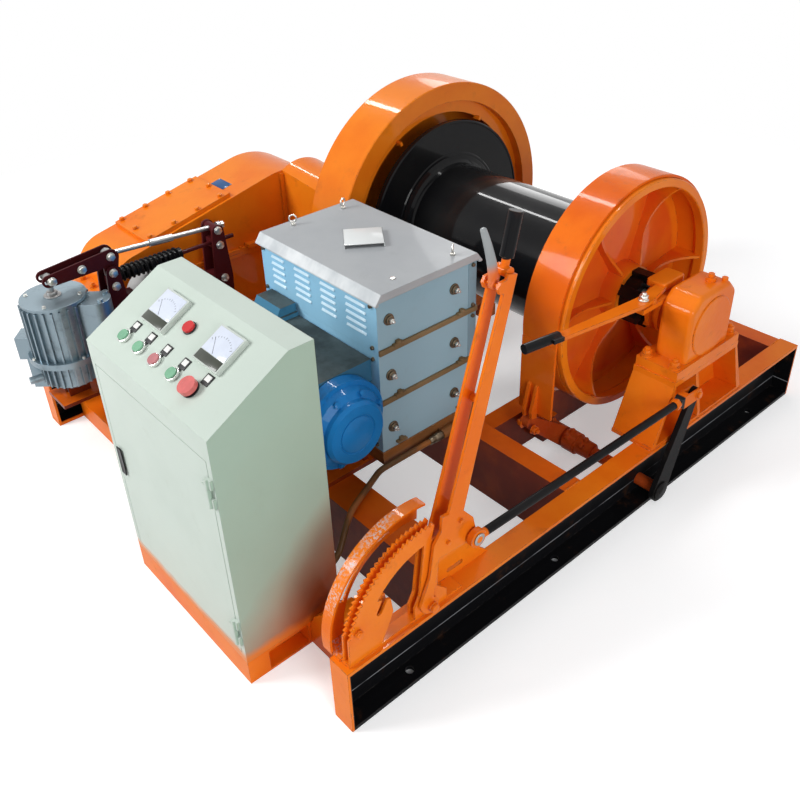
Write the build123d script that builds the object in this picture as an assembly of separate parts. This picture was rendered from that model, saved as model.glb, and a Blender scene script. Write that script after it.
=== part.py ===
# Electric drum winch on a skid frame, with brake gear, clutch and a control desk
# Millimetres. X runs along the drum to the right, Y to the back, Z up. The floor is Z = 0.
from build123d import *
from math import sin, cos, tan, radians, degrees, atan2, asin, hypot, pi
import os

os.makedirs("parts", exist_ok=True)

# Skid frame
frame_half_x = 840
frame_half_y = 980
frame_h = 200
beam_w = 64
beam_web = 8
beam_flange = 11
bolt_x = frame_half_x - 32
bolt_y_outer = frame_half_y - 205
bolt_y_inner = 232
bolt_hole_r = 11
beam_in = frame_half_x - beam_w

# Shaft centre lines
drum_y = frame_half_y - 601.5
drum_z = 518
motor_y = 380 - frame_half_y
motor_z = 430
output_y = motor_y + 590

# Drum, brake wheel and guard
barrel_r = 205
wheel_r = 361
wheel_x0 = frame_half_x - 400
wheel_x1 = wheel_x0 + 142
disc_x0 = 578 - frame_half_x
disc_x1 = disc_x0 + 21
disc_r = 352
guard_r = 476
guard_x0 = disc_x0 - 174
guard_x1 = disc_x0
shaft_r = 45
shaft_x0 = 280 - frame_half_x
shaft_x1 = frame_half_x - 25

# Fits
run_gap = 0.05
face_gap = 0.3


def block(x0, x1, y0, y1, z0, z1):
    return Pos((x0 + x1) / 2, (y0 + y1) / 2, (z0 + z1) / 2) * Box(x1 - x0, y1 - y0, z1 - z0)


def rod_x(r, y, z, x0, x1):
    return Pos((x0 + x1) / 2, y, z) * Rot(0, 90, 0) * Cylinder(r, x1 - x0)


def rod_y(r, x, z, y0, y1):
    return Pos(x, (y0 + y1) / 2, z) * Rot(90, 0, 0) * Cylinder(r, y1 - y0)


def rod_z(r, x, y, z0, z1):
    return Pos(x, y, (z0 + z1) / 2) * Cylinder(r, z1 - z0)


def rod_between(r, a, b):
    a, b = Vector(*a), Vector(*b)
    d = b - a
    return Plane(origin=a, z_dir=d) * Pos(0, 0, d.length / 2) * Cylinder(r, d.length)


def plate_x(points, x0, x1):
    """A plate square to X, its outline given as (y, z) points."""
    wire = Polyline(*[(x0, y, z) for y, z in points], close=True)
    return extrude(make_face(wire), amount=x1 - x0, dir=(1, 0, 0))


def plate_y(points, y0, y1):
    """A plate square to Y, its outline given as (x, z) points."""
    wire = Polyline(*[(x, y0, z) for x, z in points], close=True)
    return extrude(make_face(wire), amount=y1 - y0, dir=(0, 1, 0))


def plate_z(points, z0, z1):
    """A plate square to Z, its outline given as (x, y) points."""
    wire = Polyline(*[(x, y, z0) for x, y in points], close=True)
    return extrude(make_face(wire), amount=z1 - z0, dir=(0, 0, 1))


def ring_x(r_out, r_in, y, z, x0, x1):
    return rod_x(r_out, y, z, x0, x1) - rod_x(r_in, y, z, x0 - 1, x1 + 1)


def turned_x(profile, y, z):
    """A body turned about the line through (y, z) along X, from its (x, radius) outline."""
    wire = Polyline(*[(x, y + r, z) for x, r in profile], close=True)
    return revolve(make_face(wire), axis=Axis((0, y, z), (1, 0, 0)))


def link_x(ya, za, ra, yb, zb, rb, x0, x1):
    """A link plate square to X with a round end at each pin centre."""
    d = hypot(yb - ya, zb - za)
    t = atan2(zb - za, yb - ya)
    s = asin((ra - rb) / d)
    pts = []
    for side in (1, -1):
        a = t + side * (pi / 2 - s)
        pair = [(ya + ra * cos(a), za + ra * sin(a)), (yb + rb * cos(a), zb + rb * sin(a))]
        pts += pair if side == 1 else pair[::-1]
    return plate_x(pts, x0, x1) + rod_x(ra, ya, za, x0, x1) + rod_x(rb, yb, zb, x0, x1)


def save(name, shape):
    export_step(shape, f"parts/{name}.step")


# Skid frame: side channels, cross members and the low rails under the desk
cross_shaft_y = drum_y - 200.5
cross_shaft_z = 48
cross_shaft_r = 19


def side_beam(x_web, x_tip):
    """Channel with its web at x_web, flanges running to x_tip, both ends closed by a plate."""
    s = 1 if x_tip > x_web else -1
    lo, hi = min(x_web, x_tip), max(x_web, x_tip)
    beam = block(lo, hi, -frame_half_y, frame_half_y, 0, frame_h)
    inner = (x_web + s * beam_web, x_tip + s)
    beam -= block(min(inner), max(inner), -frame_half_y + beam_web, frame_half_y - beam_web,
                  beam_flange, frame_h - beam_flange)
    x_hole = bolt_x if x_tip > 0 else -bolt_x
    for y in (-bolt_y_outer, -bolt_y_inner, bolt_y_inner, bolt_y_outer):
        beam -= rod_z(bolt_hole_r, x_hole, y, -1, beam_flange + 1)
    return beam


side_beam_right = side_beam(beam_in, frame_half_x)
side_beam_right -= rod_x(cross_shaft_r + run_gap, cross_shaft_y, cross_shaft_z, beam_in - 1,
                         beam_in + beam_web + 1)
save("side_beam_right", side_beam_right)
save("side_beam_left", side_beam(-frame_half_x, -beam_in))


def cross_channel(x0, x1, y0, y1, h):
    """Channel across the frame, web to the front, flanges to the back."""
    return block(x0, x1, y0, y1, 0, h) - block(x0 - 1, x1 + 1, y0 + beam_web, y1 + 1, beam_flange,
                                               h - beam_flange)


desk_base_h = 75
desk_x1 = frame_half_x - 271
desk_x0 = desk_x1 - 547
desk_y0 = -frame_half_y - 98
desk_y1 = desk_y0 + 278
front_y0 = desk_y0 + 185
front_y1 = front_y0 + 75
front_low = desk_base_h
rise_x = desk_x1 + 6
rise = [(-beam_in, 0), (beam_in, 0), (beam_in, frame_h), (rise_x + 145, frame_h), (rise_x + 75, frame_h - 28),
        (rise_x + 15, front_low + 35), (rise_x, front_low), (-beam_in, front_low)]
hollow = [(-beam_in - 1, beam_flange), (beam_in + 1, beam_flange), (beam_in + 1, frame_h - beam_flange),
          (rise_x + 147, frame_h - beam_flange), (rise_x + 81, frame_h - 38), (rise_x + 25, front_low + 28),
          (rise_x + 10, front_low - beam_flange), (-beam_in - 1, front_low - beam_flange)]
front_beam = plate_y(rise, front_y0, front_y1) - plate_y(hollow, front_y0 + beam_web, front_y1 + 1)
save("front_cross_beam", front_beam)
motor_beam_y0 = motor_y - 55
motor_beam_y1 = motor_y + 55
save("motor_cross_beam", cross_channel(-beam_in, beam_in, motor_beam_y0, motor_beam_y1, frame_h))
middle_beam_y0 = drum_y - 550.5
middle_beam_y1 = middle_beam_y0 + 68
save("middle_cross_beam", cross_channel(-beam_in, beam_in, middle_beam_y0, middle_beam_y1, frame_h))
rear_beam_y1 = frame_half_y - 8
rear_beam_y0 = rear_beam_y1 - 68
save("rear_cross_beam", cross_channel(-beam_in, beam_in, rear_beam_y0, rear_beam_y1, frame_h))
inner_x0 = wheel_x0 - 110
inner_x1 = inner_x0 + 66
inner_h = 140
inner = block(inner_x0, inner_x1, middle_beam_y1, rear_beam_y0, 0, inner_h)
inner -= block(inner_x0 - 1, inner_x1 - beam_web, middle_beam_y1 - 1, rear_beam_y0 + 1, beam_flange,
               inner_h - beam_flange)
shaft_bearing = block(inner_x1 - 1, inner_x1 + 44, cross_shaft_y - 34, cross_shaft_y + 34, 10, 90)
inner += shaft_bearing
inner -= rod_x(cross_shaft_r + run_gap, cross_shaft_y, cross_shaft_z, inner_x1 - beam_web - 1, inner_x1 + 45)
inner_beams = inner

left_inner_x0 = shaft_x0 - 15
left_inner_x1 = left_inner_x0 + 107
left_inner = block(left_inner_x0, left_inner_x1, middle_beam_y1, rear_beam_y0, 0, inner_h)
left_inner -= block(left_inner_x0 - 1, left_inner_x1 - beam_web, middle_beam_y1 - 1, rear_beam_y0 + 1,
                    beam_flange,
                    inner_h - beam_flange)
save("inner_long_beams", inner_beams + left_inner)

rail_w = 50
rails = Part()
rails += block(desk_x0, desk_x1, desk_y0, desk_y0 + 10, 0, desk_base_h)
for side in (0, 1):
    x0 = desk_x1 - rail_w if side else desk_x0
    x1 = x0 + rail_w
    rail = block(x0, x1, desk_y0 + 10, front_y0, 0, desk_base_h)
    cut = (x0 + 7, x1 + 1) if side else (x0 - 1, x1 - 7)
    rail -= block(cut[0], cut[1], desk_y0 + 60, front_y0 - 8, 7, desk_base_h - 7)
    rails += rail
save("desk_base_frame", rails)

# Control desk: sheet cabinet with a sloping panel, hinged front door
desk_top_z = 863
desk_bend_z = desk_top_z - 121
desk_back_top_y = desk_y0 + 213
panel_a = (desk_y0, desk_bend_z)
panel_b = (desk_back_top_y, desk_top_z)
sheet = 3
slope = atan2(panel_b[1] - panel_a[1], panel_b[0] - panel_a[0])
desk_outline = [(desk_y0, desk_base_h), panel_a, panel_b, (desk_y1, desk_top_z), (desk_y1, desk_base_h)]
cabinet = plate_x(desk_outline, desk_x0, desk_x1)
inside = [(desk_y0 + sheet, desk_base_h + sheet), (desk_y0 + sheet, desk_bend_z - sheet),
          (desk_back_top_y + sheet, desk_top_z - sheet), (desk_y1 - sheet, desk_top_z - sheet),
          (desk_y1 - sheet, desk_base_h + sheet)]
cabinet -= plate_x(inside, desk_x0 + sheet, desk_x1 - sheet)
door_x0 = desk_x0 + 18
door_x1 = desk_x1 - 18
door_z0 = desk_base_h + 22
door_z1 = desk_bend_z - 60
cabinet -= block(door_x0, door_x1, desk_y0 - 1, desk_y0 + sheet + 1, door_z0, door_z1)


def on_panel(u, v):
    """Plane on the sloping panel: u from the left edge, v up the slope."""
    y = desk_y0 + v * cos(slope)
    z = desk_bend_z + v * sin(slope)
    return Plane(origin=(desk_x0 + u, y, z), x_dir=(1, 0, 0), z_dir=(0, -sin(slope), cos(slope)))


button_u = [108, 180, 252, 330]
button_v = 62
stop_u = 405
button_r = 11
stop_r = 11
for u in button_u + [stop_u]:
    cabinet -= on_panel(u, button_v) * Cylinder(button_r + run_gap, 20)
lamp_u = 262
lamp_v = 165
cabinet -= on_panel(lamp_u, lamp_v) * Cylinder(button_r + run_gap, 20)
hinge_y = desk_y0 - 7
hinge_pin_r = 3
hinge_r = 6
hinge_len = 26
hinge_z = [door_z0 + 80, door_z1 - 80]
for z in hinge_z:
    for z0 in (z - 1.5 * hinge_len, z + 0.5 * hinge_len):
        cabinet += rod_z(hinge_r, door_x1, hinge_y, z0, z0 + hinge_len)
        cabinet += block(door_x1, door_x1 + 14, hinge_y, desk_y0, z0, z0 + hinge_len)
    cabinet += rod_z(hinge_pin_r, door_x1, hinge_y, z - hinge_len, z + hinge_len)
save("desk_cabinet", cabinet)

door_gap = 2
door_t = 3
door = block(door_x0 + door_gap, door_x1 - door_gap, desk_y0, desk_y0 + door_t, door_z0 + door_gap,
             door_z1 - door_gap)
for z in hinge_z:
    leaf_z = (z - hinge_len / 2 + 0.3, z + hinge_len / 2 - 0.3)
    door += block(door_x1 - 26, door_x1, hinge_y, desk_y0 + 1, *leaf_z)
    door += rod_z(hinge_r, door_x1, hinge_y, *leaf_z)
    door -= rod_z(hinge_pin_r + run_gap, door_x1, hinge_y, *leaf_z)
    door -= block(door_x1, door_x1 + 15, hinge_y - 1 + 8, desk_y0 + 1, *leaf_z)
save("desk_door", door)

for i, u in enumerate(button_u):
    p = on_panel(u, button_v)
    cap = p * Pos(0, 0, 9) * Cylinder(14, 6)
    stem = p * Pos(0, 0, -3) * Cylinder(button_r, 18)
    save(f"push_button_{i + 1}", cap + stem)
p = on_panel(stop_u, button_v)
save("emergency_stop", p * Pos(0, 0, 14) * Cylinder(22, 12) + p * Pos(0, 0, 0) * Cylinder(stop_r, 20))
p = on_panel(lamp_u, lamp_v)
save("indicator_lamp", p * Pos(0, 0, 5) * Cylinder(15, 10) + p * Pos(0, 0, -3) * Cylinder(button_r, 14))
meters = Part()
for u in (160, 395):
    meters += on_panel(u, 165) * Pos(0, 0, 6) * Box(96, 96, 12)
save("panel_meters", meters)

# Drum: barrel with a swept root, flange disc and brake wheel, all on the main shaft
barrel_wall = 14
root_w = 26
barrel = turned_x([(disc_x1, barrel_r + root_w), (disc_x1 + 5, barrel_r + 12), (disc_x1 + 14, barrel_r + 4),
                   (disc_x1 + root_w, barrel_r), (wheel_x0, barrel_r), (wheel_x0, barrel_r - barrel_wall),
                   (disc_x1, barrel_r - barrel_wall)], drum_y, drum_z)
save("drum_barrel", barrel)
rim_w = 8
flange = turned_x([(disc_x0, shaft_r + run_gap), (disc_x0, disc_r), (disc_x1 - 4, disc_r),
                   (disc_x1, disc_r - 4),
                   (disc_x1, disc_r - rim_w), (disc_x1 - 3, disc_r - rim_w - 2),
                   (disc_x1 - 3, barrel_r + root_w + 12),
                   (disc_x1, barrel_r + root_w + 8), (disc_x1, shaft_r + run_gap)], drum_y, drum_z)
save("drum_flange", flange)
lip_x0 = wheel_x1 - 22
lip_in = wheel_r - 26
skirt_in = wheel_r - 15
hub_r = 92
hub_x1 = wheel_x1 - 26
web_rim_x = wheel_x0 + 22
web_hub_x = wheel_x0 + 46
web_t = 14
wheel = turned_x([(wheel_x0, wheel_r), (lip_x0 - 1, wheel_r), (lip_x0, wheel_r - 4),
                  (lip_x0 + 3, wheel_r - 4),
                  (lip_x0 + 4, wheel_r), (wheel_x1 - 3, wheel_r), (wheel_x1, wheel_r - 3),
                  (wheel_x1, lip_in + 3),
                  (wheel_x1 - 3, lip_in), (lip_x0 - 8, lip_in), (lip_x0 - 22, skirt_in),
                  (web_rim_x + web_t, skirt_in),
                  (web_hub_x + web_t, hub_r), (hub_x1, hub_r - 6), (hub_x1, shaft_r + run_gap),
                  (wheel_x0, shaft_r + run_gap), (wheel_x0, hub_r + 8), (web_hub_x, hub_r + 8),
                  (web_rim_x, skirt_in - 12),
                  (wheel_x0, skirt_in)], drum_y, drum_z)
ribs = 6
rib_turn = 2
rib_t = 9
rib_rim = Plane.XZ * Polyline((web_rim_x + 4, skirt_in + 3), (wheel_x1 - 6, skirt_in + 3),
                              (wheel_x1 - 6, lip_in + 4))
rib_hollow = Plane.XZ * Spline((wheel_x1 - 6, lip_in + 4), (web_rim_x + 62, 262), (web_hub_x + 30, 185),
                               (hub_x1 - 14, hub_r + 6), (hub_x1 - 10, hub_r - 8))
rib_back = Plane.XZ * Polyline((hub_x1 - 10, hub_r - 8), (web_hub_x + 4, hub_r - 8),
                               (web_rim_x + 4, skirt_in + 3))
rib = extrude(make_face(rib_rim + rib_hollow + rib_back), amount=rib_t / 2, both=True)
for i in range(ribs):
    turn = rib_turn + i * 360 / ribs - 90
    wheel += Pos(0, drum_y, drum_z) * Rot(turn, 0, 0) * rib
save("brake_wheel", wheel)
jaw_x0 = wheel_x1 - 26
jaw_x1 = wheel_x1 + 22
tooth_x = jaw_x1 + 20
jaw_r = 84
teeth = 6


def jaw_teeth(x0, x1, r_out, r_in, turn, width):
    out = Part()
    for i in range(teeth):
        a = turn + i * 360 / teeth
        wedge = Pos(0, drum_y, drum_z) * Rot(a, 0, 0) * block(x0, x1, -width / 2, width / 2, r_in, r_out)
        out += wedge
    return out


jaw = ring_x(jaw_r - 14, shaft_r + run_gap, drum_y, drum_z, jaw_x0, jaw_x1)
jaw += jaw_teeth(jaw_x0, jaw_x1, jaw_r, jaw_r - 20, 0, 34) + jaw_teeth(jaw_x1 - 1, tooth_x, jaw_r, 59, 0, 32)
save("drum_jaw_hub", jaw)

shaft = rod_x(shaft_r, drum_y, drum_z, shaft_x0, shaft_x1)
save("main_shaft", shaft)
collar_gap = 8
collar_tip = tooth_x + collar_gap
collar_x0 = collar_tip + 20
collar_x1 = collar_x0 + 44
collar_r = 72
groove_x = collar_x0 + 22
groove_w = 16
groove_r = 58
collar = ring_x(collar_r, shaft_r + run_gap, drum_y, drum_z, collar_x0, collar_x1)
collar -= ring_x(collar_r + 1, groove_r, drum_y, drum_z, groove_x - groove_w / 2, groove_x + groove_w / 2)
collar += jaw_teeth(collar_tip, collar_x0 + 1, 72, 60, 180 / teeth, 18)
save("clutch_collar", collar)

# Guard round the big gear: deep ring with a stepped face, tabs and two feet
guard_t = 8
step_r = 414
step_x = guard_x1 - 34
guard_in = disc_r + 18
guard = turned_x([(guard_x0, guard_r), (guard_x1 - 3, guard_r), (guard_x1, guard_r - 3), (guard_x1, step_r),
                  (step_x, step_r), (step_x, guard_in), (step_x - guard_t, guard_in),
                  (step_x - guard_t, step_r + guard_t),
                  (guard_x1 - guard_t, step_r + guard_t), (guard_x1 - guard_t, guard_r - guard_t),
                  (guard_x0 + guard_t, guard_r - guard_t), (guard_x0 + guard_t, shaft_r + 70),
                  (guard_x0, shaft_r + 70)], drum_y, drum_z)
for turn in (60, 121, 180, 240, 300, 0):
    tab = block(step_x - guard_t, guard_x1 - 14, disc_r + 8, guard_in + 4, -5, 5)
    guard += Pos(0, drum_y, drum_z) * Rot(turn, 0, 0) * tab
foot_y = 250
for s in (-1, 1):
    y = drum_y + s * foot_y
    foot = block(left_inner_x1, guard_x1, y - 30, y + 30, 0, drum_z - 380)
    guard += foot - rod_x(guard_r - 4, drum_y, drum_z, left_inner_x1 - 1, guard_x1 + 1)
save("gear_guard", guard)

# Bearing stands: sloping plates under the right housing, a plain stand on the left
stand_z = 403
stand_x0 = frame_half_x - 144
stand_x1 = frame_half_x - 4
stand_half_bottom = 238
stand_half_top = 165
stand_pts = [(drum_y - stand_half_bottom, frame_h), (drum_y - stand_half_top, stand_z - 18),
             (drum_y - stand_half_top, stand_z), (drum_y + stand_half_top, stand_z),
             (drum_y + stand_half_top, stand_z - 18), (drum_y + stand_half_bottom, frame_h)]
stand = plate_x(stand_pts, stand_x0, stand_x1)
stand_plate = 14
stand_web_x = stand_x0 + 46
side_in = [(drum_y - stand_half_bottom + 20, frame_h - 1), (drum_y - stand_half_top + 12, stand_z - 18),
           (drum_y - stand_plate / 2, stand_z - 18), (drum_y - stand_plate / 2, frame_h - 1)]
for pts in (side_in, [(2 * drum_y - y, z) for y, z in side_in]):
    stand -= plate_x(pts, stand_web_x + stand_plate, stand_x1 + 1)
    stand -= plate_x(pts, stand_x0 - 1, stand_web_x)
stand += block(stand_x0, stand_x1, drum_y - stand_half_bottom, drum_y + stand_half_bottom, frame_h,
               frame_h + 10)
rib_cut = plate_y([(stand_x1 + 1, frame_h + 20), (stand_x1 + 1, stand_z - 18), (stand_x1 - 34, stand_z - 18)],
                  drum_y - stand_plate, drum_y + stand_plate)
save("bearing_stand_right", stand - rib_cut)

house_x0 = frame_half_x - 116
house_x1 = frame_half_x - 14
house_half = 112
house_top = 636
shoulder = 40
house_z0 = stand_z + 28
house = plate_x([(drum_y - house_half, house_z0), (drum_y - house_half, house_top - shoulder),
                 (drum_y - house_half + shoulder, house_top), (drum_y + house_half - shoulder, house_top),
                 (drum_y + house_half, house_top - shoulder),
                 (drum_y + house_half, house_z0)], house_x0, house_x1)
house = fillet(house.edges().filter_by(Axis.X).group_by(Axis.Z)[1:], 30)
house = fillet(house.edges().filter_by(Axis.Z), 14)
house += block(stand_x0 + 2, stand_x1, drum_y - 160, drum_y + 160, stand_z, house_z0 + 2)
cover_r = 92
house += turned_x([(house_x1 - 1, 0), (house_x1 - 1, cover_r), (house_x1 + 2, cover_r),
                   (house_x1 + 4, cover_r - 3),
                   (house_x1 + 4, 0)], drum_y, drum_z)
house += turned_x([(house_x0 + 1, 0), (house_x0 + 1, 80), (house_x0 - 6, 76), (house_x0 - 6, 0)], drum_y,
                  drum_z)
for y in (drum_y - 142, drum_y + 142):
    for x in (stand_x0 + 24, stand_x1 - 24):
        house += rod_z(17, x, y, house_z0, house_z0 + 9)
cap_x, cap_y = house_x0 + 59, drum_y + 32.5
house += rod_z(15, cap_x, cap_y, house_top - 2, house_top + 12) + rod_z(9, cap_x, cap_y, house_top + 11,
                                                                        house_top + 22)
house += rod_z(9, house_x1 - 16, drum_y + 62, house_top - 2, house_top + 9)
house -= rod_x(shaft_r + run_gap, drum_y, drum_z, house_x0 - 7, shaft_x1 + 1)
save("bearing_housing_right", house)

left_x0 = shaft_x0
left_x1 = left_x0 + 80
left_stand = plate_x([(drum_y - 150, inner_h), (drum_y - 100, drum_z), (drum_y + 100, drum_z),
                      (drum_y + 150, inner_h)],
                     left_x0, left_x1)
left_stand += rod_x(100, drum_y, drum_z, left_x0, left_x1)
left_stand -= rod_x(shaft_r + run_gap, drum_y, drum_z, left_x0 - 1, left_x1 + 1)
save("bearing_stand_left", left_stand)

# Clutch bracket and hand lever
pivot_x = frame_half_x - 135
pivot_y = drum_y - 173.5
pivot_pin_r = 8
bracket_top = 604
lever_z = bracket_top + 5
lever_t = 12
bracket = block(pivot_x - 22, house_x0, pivot_y - 22, drum_y - house_half + 34, bracket_top - 16, bracket_top)
bracket += rod_z(pivot_pin_r, pivot_x, pivot_y, bracket_top - 1, lever_z + lever_t + 8)
bracket += rod_z(16, pivot_x, pivot_y, bracket_top - 1, lever_z)
save("clutch_bracket", bracket)
lev = plate_z([(pivot_x + 20, pivot_y - 18), (pivot_x + 18, pivot_y + 20), (groove_x + 14, drum_y + 12),
               (groove_x - 14, drum_y + 12), (pivot_x - 20, pivot_y + 20), (pivot_x - 22, pivot_y - 14),
               (pivot_x - 53, pivot_y - 335), (pivot_x - 29, pivot_y - 341)], lever_z, lever_z + lever_t)
lev -= rod_z(pivot_pin_r + run_gap, pivot_x, pivot_y, lever_z - 1, lever_z + lever_t + 1)
lev += rod_z(6, groove_x, drum_y, drum_z + groove_r + 2, lever_z + 1)
yoke = block(groove_x - 34, groove_x + 30, drum_y - 72, drum_y + 32, lever_z, lever_z + lever_t + 8)
yoke = fillet(yoke.edges().filter_by(Axis.Z), 12)
yoke = fillet(yoke.faces().sort_by(Axis.Z)[-1].edges(), 5)
lev += yoke + rod_between(14, (pivot_x - 45, pivot_y - 305, lever_z + 6),
                          (pivot_x - 63, pivot_y - 420, lever_z + 6))
save("clutch_lever", lev)

# Brake band round the wheel with its end lugs, and the shaft that pulls it
band_gap = 1.0
band_r0 = wheel_r + band_gap
band_t = 8
band_x0 = wheel_x0 + 4
band_x1 = wheel_x1 - 14
band = ring_x(band_r0 + band_t, band_r0, drum_y, drum_z, band_x0, band_x1)
lug_y = drum_y - band_r0 - band_t
lug_z = cross_shaft_z + 168
band -= plate_x([(lug_y - 200, drum_z - 40), (drum_y, drum_z - 40), (drum_y, drum_z - 600),
                 (lug_y - 200, drum_z - 600)],
                band_x0 - 1, band_x1 + 1)
band += block(band_x0, band_x1, lug_y, lug_y + band_t, lug_z + 16, drum_z - 38)
for x0 in (band_x0 + 34, band_x0 + 62):
    band += plate_x([(lug_y + 1, lug_z + 120), (lug_y - 6, lug_z + 114), (lug_y - 26, lug_z + 30),
                     (lug_y - 22, lug_z + 6),
                     (lug_y + 1, lug_z)], x0, x0 + 10)
save("brake_band", band)

arm_x0 = frame_half_x + 8
arm_x1 = arm_x0 + 16
arm_top_y = cross_shaft_y + 113
arm_top_z = cross_shaft_z + 297
shaft_line = rod_x(cross_shaft_r, cross_shaft_y, cross_shaft_z, inner_x1 - 6, arm_x0)
crank = link_x(cross_shaft_y, cross_shaft_z, 34, drum_y - 372, cross_shaft_z + 142, 20, wheel_x0 + 30,
               wheel_x0 + 60)
boss_outline = [(0, 0), (0, 30), (6, 34), (22, 34), (22, 24), (72, 24), (72, 36), (116, 36), (116, 30),
                (172, 28),
                (176, 24), (176, 0)]
bosses = turned_x([(wheel_x0 + x, r) for x, r in boss_outline], cross_shaft_y, cross_shaft_z)
save("brake_cross_shaft", shaft_line + crank + bosses)
hand_arm = link_x(cross_shaft_y, cross_shaft_z, 36, arm_top_y, arm_top_z, 18, arm_x0, arm_x1)
save("brake_arm", hand_arm)

# Hand brake: toothed quadrant, guard band, lever and pull rod
q_y = 250 - frame_half_y
q_z = frame_h + 32
quad_r = 237
tooth_depth = 9
tooth_pitch_deg = 3.4
plate_t = 6
near_x1 = frame_half_x - 10
plate_gap = 14


def toothed_plate(x0):
    """Ratchet plate: a toothed arc that runs down into a wide front foot with an oblong hole."""
    a0, a1 = 84, 172
    n = int((a1 - a0) / tooth_pitch_deg)
    pts = []
    for i in range(n):
        a = radians(a0 + i * tooth_pitch_deg)
        b = radians(a0 + (i + 0.5) * tooth_pitch_deg)
        pts.append((q_y + (quad_r - tooth_depth) * cos(a), q_z + (quad_r - tooth_depth) * sin(a)))
        pts.append((q_y + quad_r * cos(b), q_z + quad_r * sin(b)))
    foot = [(base_y0 + 2, frame_h + 6), (q_y - 142, frame_h + 6), (q_y - 121, frame_h + 46),
            (q_y - 104, frame_h + 84),
            (q_y - 110, frame_h + 128)]
    r_in = quad_r - 51
    arc = [(q_y + r_in * cos(radians(a)), q_z + r_in * sin(radians(a))) for a in range(142, a0 - 6, -8)]
    hole = link_x(q_y - 143, q_z + 76, 8, q_y - 123, q_z + 110, 8, x0 - 1, x0 + plate_t + 1)
    return plate_x(pts + foot + arc, x0, x0 + plate_t) - hole


base_y0 = q_y - 235
base_y1 = q_y + 110
x_far = near_x1 - 2 * plate_t - plate_gap
pin_r = 12
quadrant = toothed_plate(near_x1 - plate_t) + toothed_plate(x_far)
quadrant += rod_x(9, q_y - 206, q_z + 62, x_far - 3, near_x1 + 5)
quadrant += rod_x(9, q_y + 4, q_z + 206, x_far, near_x1)
quadrant += block(x_far - 4, near_x1, base_y0, base_y1, frame_h, frame_h + 8)
for x0 in (near_x1 - plate_t, x_far):
    cheek = plate_x([(q_y - 42, frame_h + 6), (q_y - 42, frame_h + 40), (q_y - 26, frame_h + 70),
                     (q_y - 8, q_z + quad_r - 50),
                     (q_y + 40, q_z + quad_r - 50), (q_y + 30, frame_h + 66), (q_y + 60, frame_h + 34),
                     (q_y + 60, frame_h + 6)], x0, x0 + plate_t)
    quadrant += cheek
stop_x0 = beam_in + 2
stop_x1 = stop_x0 + 8
stop_y = q_y + 36
stop = plate_x([(stop_y, frame_h), (stop_y, q_z + 64), (q_y + 177, q_z + 62), (q_y + 198, q_z + 54),
                (q_y + 204, q_z + 30),
                (q_y + 218, q_z - 4), (q_y + 246, frame_h)], stop_x0, stop_x1)
stop -= link_x(q_y + 108, q_z - 5, 6, q_y + 150, q_z - 5, 6, stop_x0 - 1, stop_x1 + 1)
quadrant += stop + block(stop_x0, x_far, stop_y, base_y1, frame_h, frame_h + 8)
quadrant -= rod_x(pin_r + run_gap, q_y, q_z, x_far - 1, near_x1 + 1)
save("brake_quadrant", quadrant)

q_guard_x0 = near_x1 - 87
q_guard_x1 = q_guard_x0 + 31
q_guard_r = 243
band2 = ring_x(q_guard_r, q_guard_r - 6, q_y, q_z, q_guard_x0, q_guard_x1)
band2 += ring_x(q_guard_r - 5, q_guard_r - 60, q_y, q_z, q_guard_x0, q_guard_x0 + 5)
keep = plate_x([(q_y, q_z - 30), (q_y - 400, q_z - 30), (q_y - 400, q_z + 400), (q_y + 60, q_z + 400),
                (q_y + 30, q_z)],
               q_guard_x0 - 1, q_guard_x1 + 1)
q_guard = band2 & keep
window = ring_x(q_guard_r - 16, q_guard_r - 50, q_y, q_z, q_guard_x0 - 1, q_guard_x0 + 6)
window &= plate_x([(q_y, q_z), (q_y - 300, q_z + 120), (q_y - 300, q_z + 300), (q_y - 60, q_z + 300)],
                  q_guard_x0 - 2, q_guard_x0 + 7)
q_guard -= window
q_guard += block(q_guard_x0, x_far - 4, q_y - q_guard_r + 4, q_y - q_guard_r + 64, frame_h, frame_h + 8)
q_guard += block(q_guard_x0, q_guard_x0 + 5, q_y - q_guard_r + 4, q_y - q_guard_r + 64, frame_h, frame_h + 30)
save("quadrant_guard", q_guard)

link_y = q_y + 130
link_z = q_z + 138
top_y = q_y + 234
top_z = q_z + 772
elbow_y = q_y + 68
elbow_z = q_z + 198
bar_t = 8
boot_outline = [(-34, 15), (-26, -6), (-15, -18), (1, -16), (18, 88), (25, 132), (101, 126), (126, 120),
                (140, 130), (142, 148),
                (133, 189), (100, 231), (75, 244), (36, 248), (33, 208), (11, 180), (-3, 90)]
boot = [(q_y + y, q_z + z) for y, z in boot_outline]
lever = Part()
for x0 in (near_x1 + 4, x_far - 4 - bar_t):
    arm = rod_x(22, q_y, q_z, x0, x0 + bar_t)
    dy, dz = top_y - elbow_y, top_z - elbow_z
    n = hypot(dy, dz)
    wy, wz = dz / n, -dy / n
    if x0 > near_x1:
        arm += plate_x(boot, x0, x0 + bar_t)
    else:
        arm += link_x(q_y, q_z, 22, elbow_y, elbow_z, 26, x0, x0 + bar_t)
    arm += plate_x([(elbow_y - 25 * wy, elbow_z - 25 * wz), (elbow_y + 25 * wy, elbow_z + 25 * wz),
                    (top_y + 14 * wy, top_z + 14 * wz), (top_y - 14 * wy, top_z - 14 * wz)], x0, x0 + bar_t)
    lever += arm
lever += rod_x(pin_r, q_y, q_z, x_far - 4 - bar_t, near_x1 + 4 + bar_t + 6)
lever += rod_x(9, link_y, link_z, near_x1 + 4, arm_x1 + 4)
lever += rod_x(10, q_y + 166, q_z + 488, x_far - 4, near_x1 + 4) + rod_x(12, top_y, top_z, x_far - 4,
                                                                         near_x1 + 4)
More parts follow.
